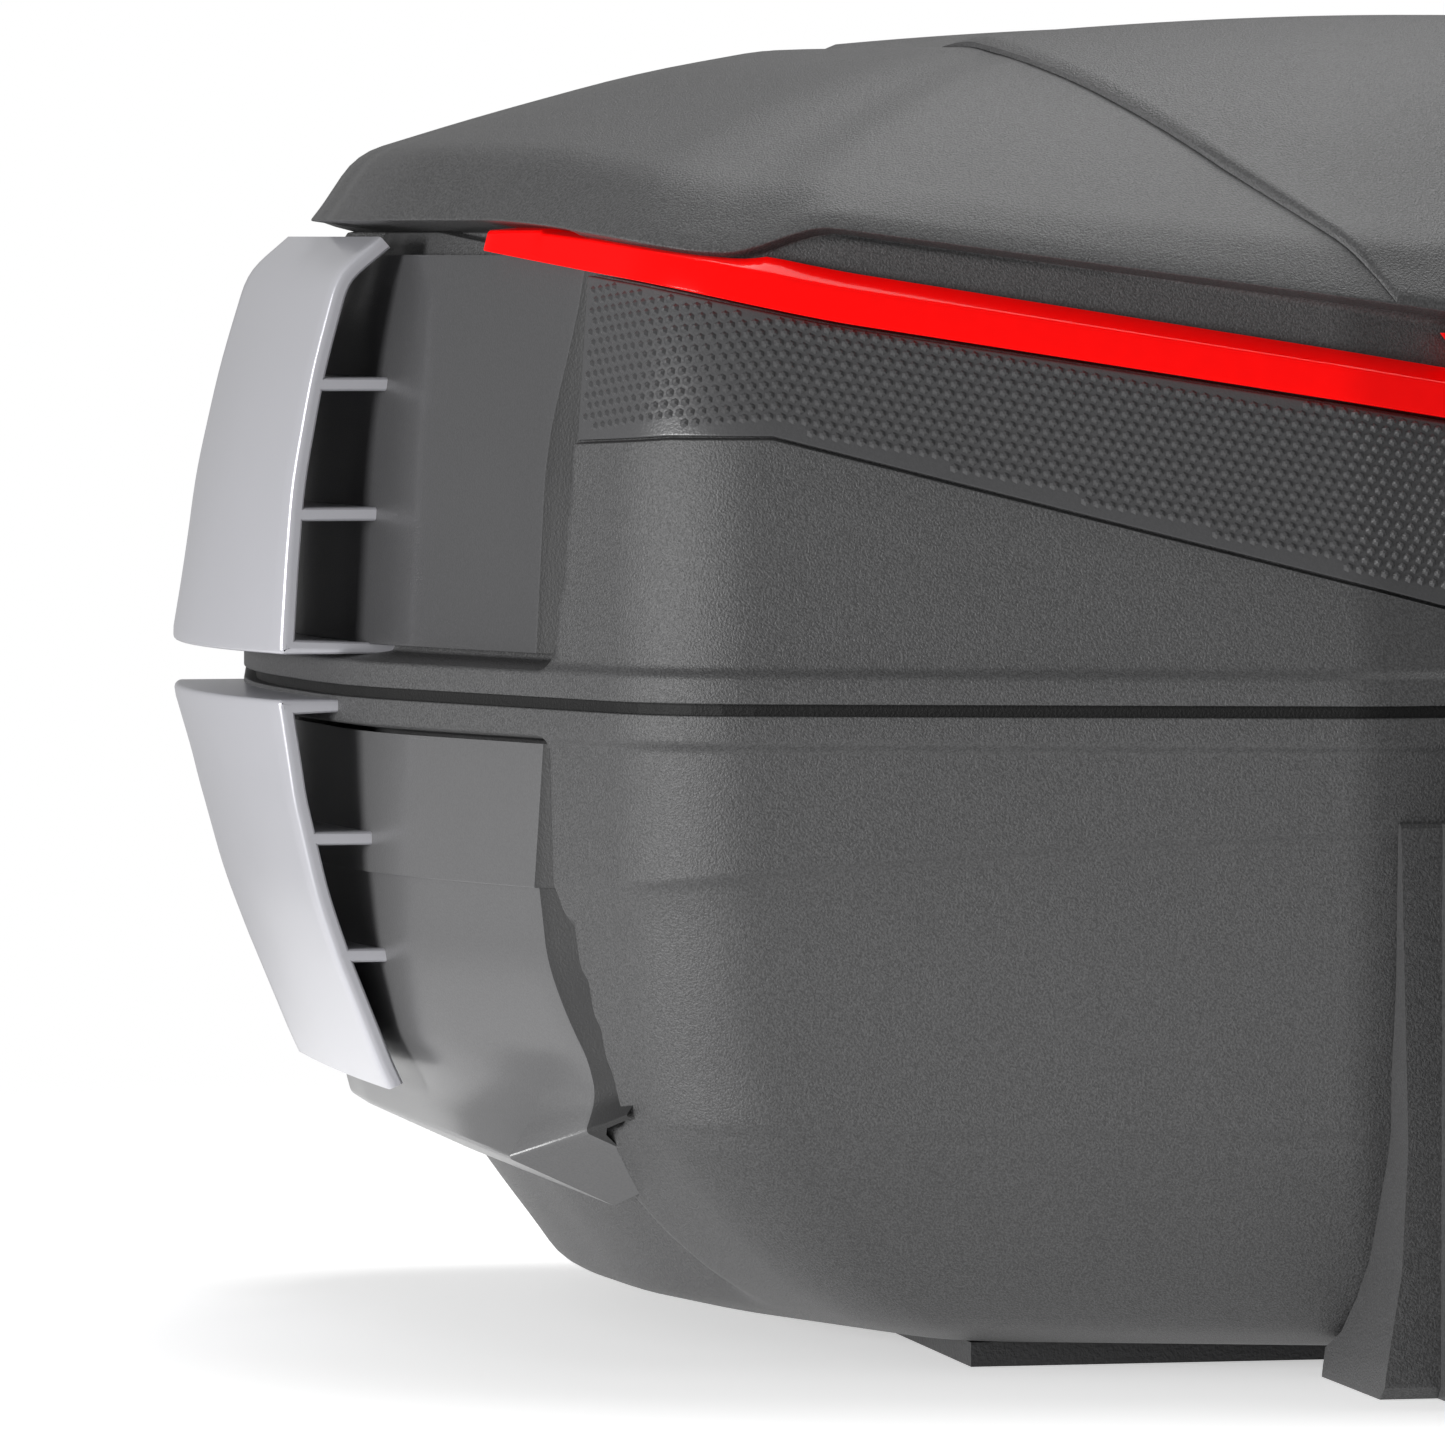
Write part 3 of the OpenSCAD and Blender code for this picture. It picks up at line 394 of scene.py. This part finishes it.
def moulded(name, colour, rough=0.5, grain=0.25, scale=900, wear=0.08, coat=0.0, metal=0.0, specular=0.5,
            grainTipLight=0.0):
    material, n, l = newMaterial(name)  # fine leather-like grain, slow colour drift and faint scuffs
    shader = n["Principled BSDF"]
    coords = n.new("ShaderNodeTexCoord")
    fine = n.new("ShaderNodeTexNoise")
    fine.inputs["Scale"].default_value = scale
    fine.inputs["Detail"].default_value = 2
    fine.inputs["Roughness"].default_value = 0.6
    slow = n.new("ShaderNodeTexNoise")
    slow.inputs["Scale"].default_value = 14
    slow.inputs["Detail"].default_value = 5
    bump = n.new("ShaderNodeBump")
    bump.inputs["Strength"].default_value = grain
    bump.inputs["Distance"].default_value = 0.0006
    tint = n.new("ShaderNodeMix")
    tint.data_type = "RGBA"
    tint.inputs["A"].default_value = (*[c * (1 - wear) for c in colour], 1)
    tint.inputs["B"].default_value = (*[min(1, c * (1 + wear)) for c in colour], 1)
    grainTipLightMap = n.new("ShaderNodeMapRange")  # painted highlight and shade: the grain's tips are coloured lighter and its pits darker, as light would catch them
    grainTipLightMap.inputs["From Min"].default_value = 0.36
    grainTipLightMap.inputs["From Max"].default_value = 0.64
    grainTipLightMap.inputs["To Min"].default_value = 1 - grainTipLight
    grainTipLightMap.inputs["To Max"].default_value = 1 + grainTipLight
    shaded = n.new("ShaderNodeVectorMath")
    shaded.operation = "SCALE"
    sheen = n.new("ShaderNodeMapRange")
    sheen.inputs["To Min"].default_value = rough - 0.05
    sheen.inputs["To Max"].default_value = rough + 0.06
    for noise in (fine, slow):
        l.new(coords.outputs["Object"], noise.inputs["Vector"])
    l.new(fine.outputs["Fac"], bump.inputs["Height"])
    l.new(fine.outputs["Fac"], grainTipLightMap.inputs["Value"])
    l.new(slow.outputs["Fac"], tint.inputs["Factor"])
    l.new(slow.outputs["Fac"], sheen.inputs["Value"])
    l.new(tint.outputs["Result"], shaded.inputs["Vector"])
    l.new(grainTipLightMap.outputs["Result"], shaded.inputs["Scale"])
    l.new(shaded.outputs["Vector"], shader.inputs["Base Color"])
    l.new(sheen.outputs["Result"], shader.inputs["Roughness"])
    l.new(bump.outputs["Normal"], shader.inputs["Normal"])
    shader.inputs["Metallic"].default_value = metal
    shader.inputs["Specular IOR Level"].default_value = specular
    shader.inputs["Coat Weight"].default_value = coat
    shader.inputs["Coat Roughness"].default_value = 0.15
    return material


def lensRed(name):
    material, n, l = newMaterial(name)  # translucent red acrylic with moulded prisms behind the face, and a faint painted glow
    shader = n["Principled BSDF"]
    coords = n.new("ShaderNodeTexCoord")
    prisms = n.new("ShaderNodeTexVoronoi")
    prisms.inputs["Scale"].default_value = 320
    ramp = n.new("ShaderNodeMapRange")
    ramp.inputs["To Min"].default_value = 0.75
    ramp.inputs["To Max"].default_value = 1.0
    tint = n.new("ShaderNodeMix")
    tint.data_type = "RGBA"
    tint.inputs["A"].default_value = (0.70, 0.001, 0.001, 1)
    tint.inputs["B"].default_value = (0.92, 0.002, 0.002, 1)
    l.new(coords.outputs["Object"], prisms.inputs["Vector"])
    l.new(prisms.outputs["Distance"], ramp.inputs["Value"])
    l.new(ramp.outputs["Result"], tint.inputs["Factor"])
    l.new(tint.outputs["Result"], shader.inputs["Base Color"])
    shader.inputs["Roughness"].default_value = 0.14
    shader.inputs["Specular IOR Level"].default_value = 0.05
    shader.inputs["Coat Weight"].default_value = 0.12
    shader.inputs["Coat Roughness"].default_value = 0.04
    l.new(tint.outputs["Result"], shader.inputs["Emission Color"])  # painted glow: emission in the lens's own red stands in for light passing through the acrylic
    shader.inputs["Emission Strength"].default_value = 0.17
    return material


looks = {
    "case": moulded("case_plastic_look", (0.058, 0.058, 0.059), 0.45, 0.5, 1900, grainTipLight=0.34),
    "band": moulded("band_plastic_look", (0.062, 0.062, 0.064), 0.30, 0.15, 1500, grainTipLight=0.06),
    "duct": moulded("duct_plastic_look", (0.054, 0.054, 0.056), 0.38, 0.15, 2000, coat=0.15, grainTipLight=0.10),
    # painted light: the lower duct panel takes a copy of the upper panel's satin plastic made about twice as
    # light, for the light it catches
    "ductLowPaintedLight": moulded("lower_duct_painted_light_look", (0.105, 0.105, 0.107), 0.32, 0.12, 2000, coat=0.2,
                       grainTipLight=0.07),
    # painted shade: near-black plastic standing for the shadow on the duct panels' turned-in rear border
    "border": moulded("duct_border_painted_shade_look", (0.011, 0.011, 0.0115), 0.5, 0.2, 1300, grainTipLight=0.10),
    "wing": moulded("wing_paint_look", (0.50, 0.50, 0.535), 0.30, 0.06, 2400, 0.03, coat=0.35, metal=0.35),
    "lens": lensRed("red_lens_painted_glow_look"),
    "button": moulded("red_button_look", (0.45, 0.01, 0.01), 0.32, 0.05, 900, coat=0.3),
    "black": moulded("black_plastic_look", (0.018, 0.018, 0.019), 0.5, 0.6, 900, grainTipLight=0.1),
    "mat": moulded("mat_rubber_look", (0.022, 0.022, 0.023), 0.85, 0.8, 500, 0.15, specular=0.2, grainTipLight=0.15),
    "seal": moulded("seal_rubber_look", (0.010, 0.010, 0.010), 0.62, 0.4, 1600, specular=0.3),
    "steel": moulded("steel_look", (0.52, 0.52, 0.53), 0.28, 0.15, 2000, metal=1.0, grainTipLight=0.04),
}


# shells
print("shells")
bm = bmesh.new()
gridOf(bm, shellColumns(lidProfile, lidLining))
finish("lid_shell_skin", bm, looks["case"], "lid", ("lid_shell",), angle=35)

bm = bmesh.new()
gridOf(bm, shellColumns(baseProfile, baseLining))
finish("base_shell_skin", bm, looks["case"], "base", ("base_shell",), angle=35)


# reflectors
print("reflectors")
lens = {"height": 9, "end": -75, "lip": 1.5, "top": 13, "low": 0.8}


def lensSection(p):
    x = p.x
    l = lensLine(x)
    into = lensInset(x)
    spots = [
        (9 - lens["lip"], into - lens["lip"], lens["low"], 0),
        (9, into, lens["height"], 0),
        (12.2, into + 7.2, lens["top"], 11),
        (12.7, into + 7.6, lens["top"] - 1.5, 11),
        (12.2, into + 4.6, lens["low"], 11),
    ]
    roof = max(eaveLine(x), case["eave"] if x > 236 else 0) - 1.4
    return [placed(p, s, r, 0, min(l + z, roof - (lens["top"] - z) * 0.25), d) for s, r, z, d in spots]


def buildReflector(bm):
    spots = [p for p in stations if p.y <= lens["end"] + 0.5]
    columns = barColumns(spots, lensSection, [0.8, 1.4, 0.8, 0.5, 0.5])
    gridOf(bm, columns)
    capped(bm, 0.8)


paired("reflector", buildReflector, looks["lens"], "lid", 40)


# textured bands
print("textured bands")
band = {"pitch": 3.0, "row": 2.6, "tilt": math.tan(math.radians(4.7)), "end": -115,
        "foot": 1.3, "tip": 0.45, "height": 0.75, "low": 3.2, "high": 1.2, "sides": 6,
        "back": 0.3, "face": 1.8, "seat": 1.75, "start": 0.15, "top": 34, "step": 3}


def bandPoint(s, t, out):  # s along the outline from the centre, t from lower to upper edge
    p = stationAt(s)
    x = p.x
    b, l = bandLine(x), lensLine(x)
    into = lensInset(x)
    low = placed(p, 6 - out, 7 - out, 4, b + 0.9, 0)
    high = placed(p, 11 - out, into + 2 - out, 9, l - 0.4, 0)
    return low.lerp(high, t)


def bandLength():
    for s, p in zip(arcLength, stations):
        if p.y > band["end"]:
            return s
    return arcLength[-1]


def buildBand(bm):
    back, face, seat, start = band["back"], band["face"], band["seat"], band["start"]
    length = bandLength() - 0.6
    count = int(length / band["step"])
    columns = []
    for i in range(count + 1):
        s = start + (length - start) * i / count
        path = [bandPoint(s, t, out) for t, out in ((0, back), (0, face), (1, face), (1, back))]
        columns.append(filleted(path, [0, 0.9, 0.7, 0]))
    gridOf(bm, columns)
    rows = range(-18, 34)  # rows of dots, more than the band is high at its tallest
    s = band["pitch"] * 0.6
    across = 0
    while s < length - 2:
        p = stationAt(s)
        slope = (bandPoint(s, 1, face) - bandPoint(s, 0, face)).length
        for k in rows:
            if (k + across) % 2:
                continue
            v = k * band["row"] - s * band["tilt"] + band["top"]
            if v < band["low"] or v > slope - band["high"]:
                continue
            t = v / slope
            here = bandPoint(s, t, seat)
            along = bandPoint(s + 1, t, seat) - here
            up = bandPoint(s, min(1, t + 0.05), seat) - here
            normal = along.cross(up).normalized()
            tilt = normal.to_track_quat("Z", "Y").to_matrix().to_4x4()
            spot = Matrix.Translation((here + normal * band["height"] / 2) * mm) @ tilt
            bmesh.ops.create_cone(bm, cap_ends=True, cap_tris=False, segments=band["sides"],
                                  radius1=band["foot"] * mm, radius2=band["tip"] * mm,
                                  depth=band["height"] * mm, matrix=spot)
        s += band["pitch"] / 2
        across += 1


paired("textured_band", buildBand, looks["band"], "lid", 30)


# centre cover of the lid
print("centre cover")
cover = {
    "edge": 1.15, "crown": 6, "gap": 1.2, "across": 56, "bunch": 0.75, "fringe": 0.022,
    "rows": (58, 90), "rearRows": 30, "sink": 0.7, "foot": (268, 267.2),
    "width": [(-172, 38), (-142, 68), (-112, 90), (-87, 106), (-45, 121), (-20, 125), (60, 125), (150, 114),
              (190, 98)],
}


def pointAcross(curve, x):  # where such a curve is at a distance from the centre plane
    for a, b in zip(curve, curve[1:]):
        if b.x >= x >= a.x and b.x > a.x:
            return a.lerp(b, (x - a.x) / (b.x - a.x))
    return curve[-1]


coverEdge = rounded(cover["width"])


def coverWidth(y):
    return lookup(y, coverEdge)


outerPaths = []
for p in stations:
    rows = lidProfile(reach(p))
    outerPaths.append(filleted([placed(p, *row[:4], 0) for row in rows], [row[5] for row in rows]))


def coverRow(j, front):  # one row of points across the cover, on the roof
    pairs = [(p, path[j]) for p, path in zip(stations, outerPaths) if (p.y > 0) == front]
    curve = [spot for p, spot in (reversed(pairs) if front else pairs)]
    width = coverWidth(curve[0].y)
    count = cover["across"]
    row = []
    for i in range(count + 1):
        u = 2 * i / count - 1
        u = math.copysign(abs(u) ** cover["bunch"], u)  # closer together at the border
        spot = pointAcross(curve, abs(u) * width)
        row.append((u, Vector((u * width, spot.y, spot.z))))
    return row


def buildCover(bm):
    first, last = cover["rows"]  # points of the roof's path that it lies on
    rows = [coverRow(j, False) for j in range(first, last + 1)]
    rows += [coverRow(j, True) for j in range(last, first - 1, -1)]
    columns = []
    for k, row in enumerate(rows):
        path = []
        tip = min(1, k / 2, (len(rows) - 1 - k) / 2)
        for u, spot in row:
            share = min(1, max(0, (spot.z - case["eave"]) / (case["shoulder"] - case["eave"])))
            fringe = ease(1 - abs(u), 0.0, cover["fringe"])
            high = cover["gap"] + cover["edge"] * (0.15 + 0.85 * fringe) * (0.3 + 0.7 * tip)
            high += cover["crown"] * share * (1 - u * u)
            high -= cover["sink"] * ease(spot.z, *cover["foot"]) if k < cover["rearRows"] else 0
            path.append(spot + Vector((0, 0, high)))
        under = [spot + Vector((0, 0, 0.1)) for u, spot in row]
        columns.append([under[0]] + path + [under[-1]])
        if k in (0, len(rows) - 1):
            flat = [under[0]] + under + [under[-1]]
            columns.insert(0 if k == 0 else len(columns), flat)
    gridOf(bm, columns)


bm = bmesh.new()
buildCover(bm)
finish("lid_center_cover_skin", bm, looks["case"], "lid", ("lid_center_cover",), angle=40)


# duct panels: satin plates in the side recesses, their rear border turned in
print("duct panels")
panel = {"face": 6, "deep": 10.4, "border": 5, "steps": 30, "softened": 0.8, "inward": 0.12,
         "rearGap": 1.5, "foreGap": 0.2, "across": 246,
         "crease": [(62, -108), (71, -103), (86, -95.5), (102, -91), (127, -90), (153, -96), (172, -92),
                    (186, -91.8), (225, -92.6), (250, -98), (264, -100.3)]}


creaseCurve = rounded(panel["crease"])


def outlineAt(y):  # outline point of the side at a y
    for a, b in zip(stations, stations[1:]):
        if a.x > 150 and a.y <= y <= b.y:
            return a.lerp(b, (y - a.y) / (b.y - a.y))
    return stations[-1]


def ductSpot(y, side, z, recess):  # a point of the side at a full recess, whatever the duct does there
    p = outlineAt(y)
    return Vector((p.x * (1 - (side + recess + tuck(y, z)) / case["halfWidth"]), y, z))


def ductPath(upper):  # side inset and height up the panel
    x = panel["across"]
    if upper:
        return [(2.3, lidFoot + case["rim"] + 2.4), (5, bandLine(x)), (8, (bandLine(x) + lensLine(x)) / 2),
                (11, lensLine(x) - 0.3)]
    c = creaseLine(x)
    return [(11, 76.3), (8.4, 87), (6, 98), (4.3, 118), (3, c), (2.2, case["seam"] - case["rim"] - 2.4)]


lip = {"out": [(-121, 211), (-116, 213), (-100, 220.5), (-85, 236.5), (55, 247), (118, 240)],
       "height": [(-121, 66.5), (-116, 64), (-100, 58.5), (-85, 51.5), (55, 54.5), (118, 52)],
       "under": (26, 12), "flare": 2.5}


def lipBelow(column):  # the lower panel flares out at its foot into a ledge, then turns back under it
    foot = column[0]
    out, height = lookup(foot.y, lip["out"]), lookup(foot.y, lip["height"])
    edge = Vector((out, foot.y, height))
    mid = (edge + foot) / 2 - Vector((lip["flare"], 0, 0))
    under = edge - Vector((lip["under"][0], 0, lip["under"][1])) * (0.05 + 0.95 * ease(foot.y, -106, -90))
    return filleted([under, edge, mid, foot, column[1]], [0, 2, 16, 6], 5)[:-1] + column[1:]


def buildPanel(upper):
    def build(bm):
        columns = []
        fore = case["ductFront"] - panel["foreGap"]
        inner = panel["face"] - panel["inward"]
        for i in range(panel["border"] + panel["steps"] + 2):
            column = []
            for side, z in filleted2(ductPath(upper)):
                crease = lookup(z, creaseCurve)
                edge = case["ductRear"] - panel["rearGap"] - lookup(z, ductLean)
                if i <= panel["border"]:  # from the body's edge up to the crease
                    t = i / panel["border"]
                    y = edge + (crease - edge) * t
                    recess = panel["deep"] - (panel["deep"] - panel["face"]) * t
                else:  # the flat face, forward from the crease
                    t = (i - panel["border"] - 1) / panel["steps"]
                    start = crease + panel["softened"]
                    y, recess = start + (fore - start) * t, inner
                column.append(ductSpot(y, side, z, recess))
            columns.append(column if upper else lipBelow(column))
        made = gridOf(bm, columns)
        border = {v for k, v in enumerate(made) if k % len(columns) <= panel["border"]}
        # painted shade: the turned-in border's faces take the second, near-black material
        for f in bm.faces:
            f.material_index = 1 if border.issuperset(f.verts) else 0
        bmesh.ops.recalc_face_normals(bm, faces=bm.faces)
        if sum(f.normal.x for f in bm.faces) < 0:
            bmesh.ops.reverse_faces(bm, faces=bm.faces)
    return build


def filleted2(path):  # the same rounding for (inset, height) pairs
    spots = filleted([Vector((a, z, 0)) for a, z in path], [30] * len(path))
    return [(v.x, v.y) for v in spots]


panels = paired("duct_panel_upper", buildPanel(True), looks["duct"], "lid", 12)
panels += paired("duct_panel_lower", buildPanel(False), looks["ductLowPaintedLight"], "base", 12)
for obj in panels:
    obj.data.materials.append(looks["border"])  # painted shade: the turned-in rear border takes a near-black plastic for the shadow it sits in


# side wings: bent sheets with a flange at the seam and ribs to the panel
print("wings")
wing = {"rear": -20, "mid": 55, "front": 112, "sheet": 3.8, "flange": 2.4, "rib": 3.4,
        "ends": [(0, 0), (0.02, 0.64), (0.35, 0.88), (1, 1)]}
upperWing = {"rows": [(174.5, 293.4, 12.3), (193, 289.5, 9.5), (213, 285.5, 7), (241, 277.5, 4),
                      (265, 269, 2), (274, 259, 3)],
             "foot": (293.5, 171.2, 12.5), "flangeIn": 261.6, "ribs": (205.7, 237.7)}
lowerWing = {"rows": [(156.5, 292.6, 11.4), (135, 285, 7), (111, 277, 4.5), (95, 270, 3),
                      (69, 258.6, 2), (63.4, 256, 2)],
             "foot": (293.2, 160.0, 11.5), "flangeIn": 262.5, "ribs": (125.7, 96.7)}


def wingLean(y):  # 0 at the middle of the wing, 1 at its rear edge
    return ((y - wing["mid"]) / (wing["mid"] - wing["rear"])) ** 2


def wingBow(shape, z):  # how much the sheet bows in towards its rear edge
    rows = sorted((r[0], r[2]) for r in shape["rows"])
    return lookup(z, rows)


def endSteps(count):  # positions along the wing and how thick it is there: rounded at both ends
    ends = wing["ends"]
    length = wing["front"] - wing["rear"]
    inner = [(1 + (length - 2) * i / count, 1) for i in range(1, count)]
    steps = ends + inner + [(length - d, full) for d, full in reversed(ends)]
    return [(wing["rear"] + d, full) for d, full in steps]


def wingLoop(shape, y, full):  # the bent sheet's outline at a y: out along the outside, back along the inside
    mid = [Vector((shape["flangeIn"], shape["foot"][1], 0)), Vector((shape["foot"][0], shape["foot"][1], 0))]
    mid += [Vector((x, z, 0)) for z, x, bow in shape["rows"]]
    curve = filleted(mid, [0, 6, 0] + [60] * (len(mid) - 3), 5)
    curve = [v for i, v in enumerate(curve) if i == 0 or (v - curve[i - 1]).length > 0.05]
    sheet = []
    for i, v in enumerate(curve):
        ahead = curve[min(i + 1, len(curve) - 1)] - curve[max(i - 1, 0)]
        side = Vector((ahead.y, -ahead.x, 0)).normalized()
        if shape is lowerWing:
            side = -side
        inFlange = v.x < shape["foot"][0] - 6 and i < 8
        sheet.append((v, side, wing["flange"] if inFlange else wing["sheet"]))
    lean = wingLean(y)
    outer, inner = [], []
    for v, side, thick in sheet:
        x = v.x - wingBow(shape, v.y) * lean
        near, far = thick * (1 - full) / 2, thick * (1 + full) / 2
        outer.append(Vector((x - side.x * near, y, v.y - side.y * near)))
        inner.append(Vector((x - side.x * far, y, v.y - side.y * far)))
    return outer, inner


def buildWing(shape, upper):
    def build(bm):
        columns = []
        for y, full in endSteps(22):
            outer, inner = wingLoop(shape, y, full)
            loop = outer + list(reversed(inner))
            columns.append(loop + [loop[0]])
        gridOf(bm, columns)
        for z in shape["ribs"]:
            ribColumns = []
            for y, full in endSteps(12):
                bow = wingBow(shape, z) * wingLean(y)
                rows = sorted((r[0], r[1]) for r in shape["rows"])
                out = lookup(z, rows) - bow - 1.5
                near = z - wing["rib"] / 2 if upper else z + wing["rib"] / 2
                path = sorted((b, a) for a, b in filleted2(ductPath(upper)))
                side = lookup(near, path)
                into = ductSpot(y, side, z, panel["face"]).x - 0.8
                low, high = z - full * wing["rib"] / 2, z + full * wing["rib"] / 2
                ribColumns.append([Vector((out, y, low)), Vector((out, y, high)), Vector((into, y, high)),
                                   Vector((into, y, low)), Vector((out, y, low))])
            rib = bmesh.new()
            gridOf(rib, ribColumns)
            mesh = bpy.data.meshes.new("rib")
            rib.to_mesh(mesh)
            rib.free()
            bm.from_mesh(mesh)
            bpy.data.meshes.remove(mesh)
    return build


paired("wing_upper", buildWing(upperWing, True), looks["wing"], "lid", 35)
paired("wing_lower", buildWing(lowerWing, False), looks["wing"], "base", 35)


# pieces kept from the construction: their own look and softened edges
print("kept pieces")
kept = {
    "lens": ["center_lens"],
    "button": ["release_button"],
    "case": ["latch_housing"],
    "black": ["latch_flap", "lid_hinge_leaves", "base_hinge_leaves", "mounting_plate"],
    "seal": ["lid_seal"],
    "mat": ["floor_mat"],
    "steel": ["lid_striker", "lid_screws", "hinge_pin_left", "hinge_pin_right", "base_screws", "flap_pin",
              "flap_spring", "latch_hook", "hook_pin", "key_cylinder", "button_spring", "carrier_bolt",
              "plate_screws"],
}
softEdge = {"latch_housing": 1.2, "latch_flap": 1.0, "center_lens": 0.6, "lid_hinge_leaves": 0.6,
            "base_hinge_leaves": 0.6, "mounting_plate": 0.8, "lid_striker": 0.4, "latch_hook": 0.4,
            "key_cylinder": 0.4, "release_button": 0.5, "floor_mat": 0.5}
for look, names in kept.items():
    for name in names:
        obj = nodes[name]
        obj.data.materials.clear()
        obj.data.materials.append(looks[look])
        if name in softEdge:
            bevel = obj.modifiers.new("soft_edge", "BEVEL")
            bevel.width = softEdge[name] * mm
            bevel.segments = 3
            bevel.limit_method = "ANGLE"
            bevel.angle_limit = math.radians(35)


# camera, lights and floor
print("camera and lights")
camera = {"at": (-0.72469, -2.70459, 0.275), "aim": (-0.2012, -0.1707, 0.1603), "lens": 275.3}
cameraData = bpy.data.cameras.new("camera")
cameraData.lens = camera["lens"]
cameraData.sensor_width = 36
cameraData.clip_end = 20
cameraObj = bpy.data.objects.new("camera", cameraData)
cameraObj.location = camera["at"]
aim = Vector(camera["aim"]) - Vector(camera["at"])
cameraObj.rotation_euler = aim.to_track_quat("-Z", "Y").to_euler()
bpy.context.scene.collection.objects.link(cameraObj)
bpy.context.scene.camera = cameraObj

bpy.context.scene.view_settings.view_transform = "Standard"
world = bpy.data.worlds.new("studio")
bpy.context.scene.world = world
world.use_nodes = True
n, l = world.node_tree.nodes, world.node_tree.links
soft = n["Background"]  # what lights the case
soft.inputs["Color"].default_value = (1, 1, 1, 1)
soft.inputs["Strength"].default_value = 0.36
bright = n.new("ShaderNodeBackground")  # what the eye and transmission rays see
bright.inputs["Color"].default_value = (1, 1, 1, 1)
bright.inputs["Strength"].default_value = 1.0
path = n.new("ShaderNodeLightPath")
either = n.new("ShaderNodeMath")
either.operation = "MAXIMUM"
mixed = n.new("ShaderNodeMixShader")
l.new(path.outputs["Is Camera Ray"], either.inputs[0])
l.new(path.outputs["Is Transmission Ray"], either.inputs[1])
l.new(either.outputs["Value"], mixed.inputs["Fac"])
l.new(soft.outputs["Background"], mixed.inputs[1])
l.new(bright.outputs["Background"], mixed.inputs[2])
l.new(mixed.outputs["Shader"], n["World Output"].inputs["Surface"])


def softbox(name, at, aimAt, size, power):
    light = bpy.data.lights.new(name, "AREA")
    light.shape = "RECTANGLE"
    light.size, light.size_y = size
    light.energy = power
    obj = bpy.data.objects.new(name, light)
    obj.location = at
    obj.rotation_euler = (Vector(aimAt) - Vector(at)).to_track_quat("-Z", "Y").to_euler()
    bpy.context.scene.collection.objects.link(obj)
    return obj


softbox("overhead", (0.5, 0.5, 2.2), (0, 0, 0.2), (1.8, 1.4), 36)
softbox("left_fill", (-2.8, -1.0, 0.35), (-0.1, 0, 0.15), (1.0, 0.8), 78)

floorMaterial, n, l = newMaterial("studio_floor")
n["Principled BSDF"].inputs["Base Color"].default_value = (0.95, 0.95, 0.95, 1)
n["Principled BSDF"].inputs["Emission Color"].default_value = (1, 1, 1, 1)
n["Principled BSDF"].inputs["Emission Strength"].default_value = 0.46
n["Principled BSDF"].inputs["Roughness"].default_value = 0.8
floorAt = n.new("ShaderNodeTexCoord")
far = n.new("ShaderNodeVectorMath")
far.operation = "LENGTH"
fading = n.new("ShaderNodeMapRange")
fading.interpolation_type = "SMOOTHSTEP"
fading.inputs["From Min"].default_value = 0.28
fading.inputs["From Max"].default_value = 0.85
clear = n.new("ShaderNodeBsdfTransparent")
blend = n.new("ShaderNodeMixShader")
l.new(floorAt.outputs["Object"], far.inputs[0])
l.new(far.outputs["Value"], fading.inputs["Value"])
l.new(fading.outputs["Result"], blend.inputs["Fac"])
l.new(n["Principled BSDF"].outputs["BSDF"], blend.inputs[1])
l.new(clear.outputs["BSDF"], blend.inputs[2])
l.new(blend.outputs["Shader"], n["Material Output"].inputs["Surface"])
floorBm = bmesh.new()
bmesh.ops.create_grid(floorBm, x_segments=1, y_segments=1, size=6)
floorMesh = bpy.data.meshes.new("studio_floor")
floorBm.to_mesh(floorMesh)
floorBm.free()
floorMesh.materials.append(floorMaterial)
floorObj = bpy.data.objects.new("studio_floor", floorMesh)
bpy.context.scene.collection.objects.link(floorObj)
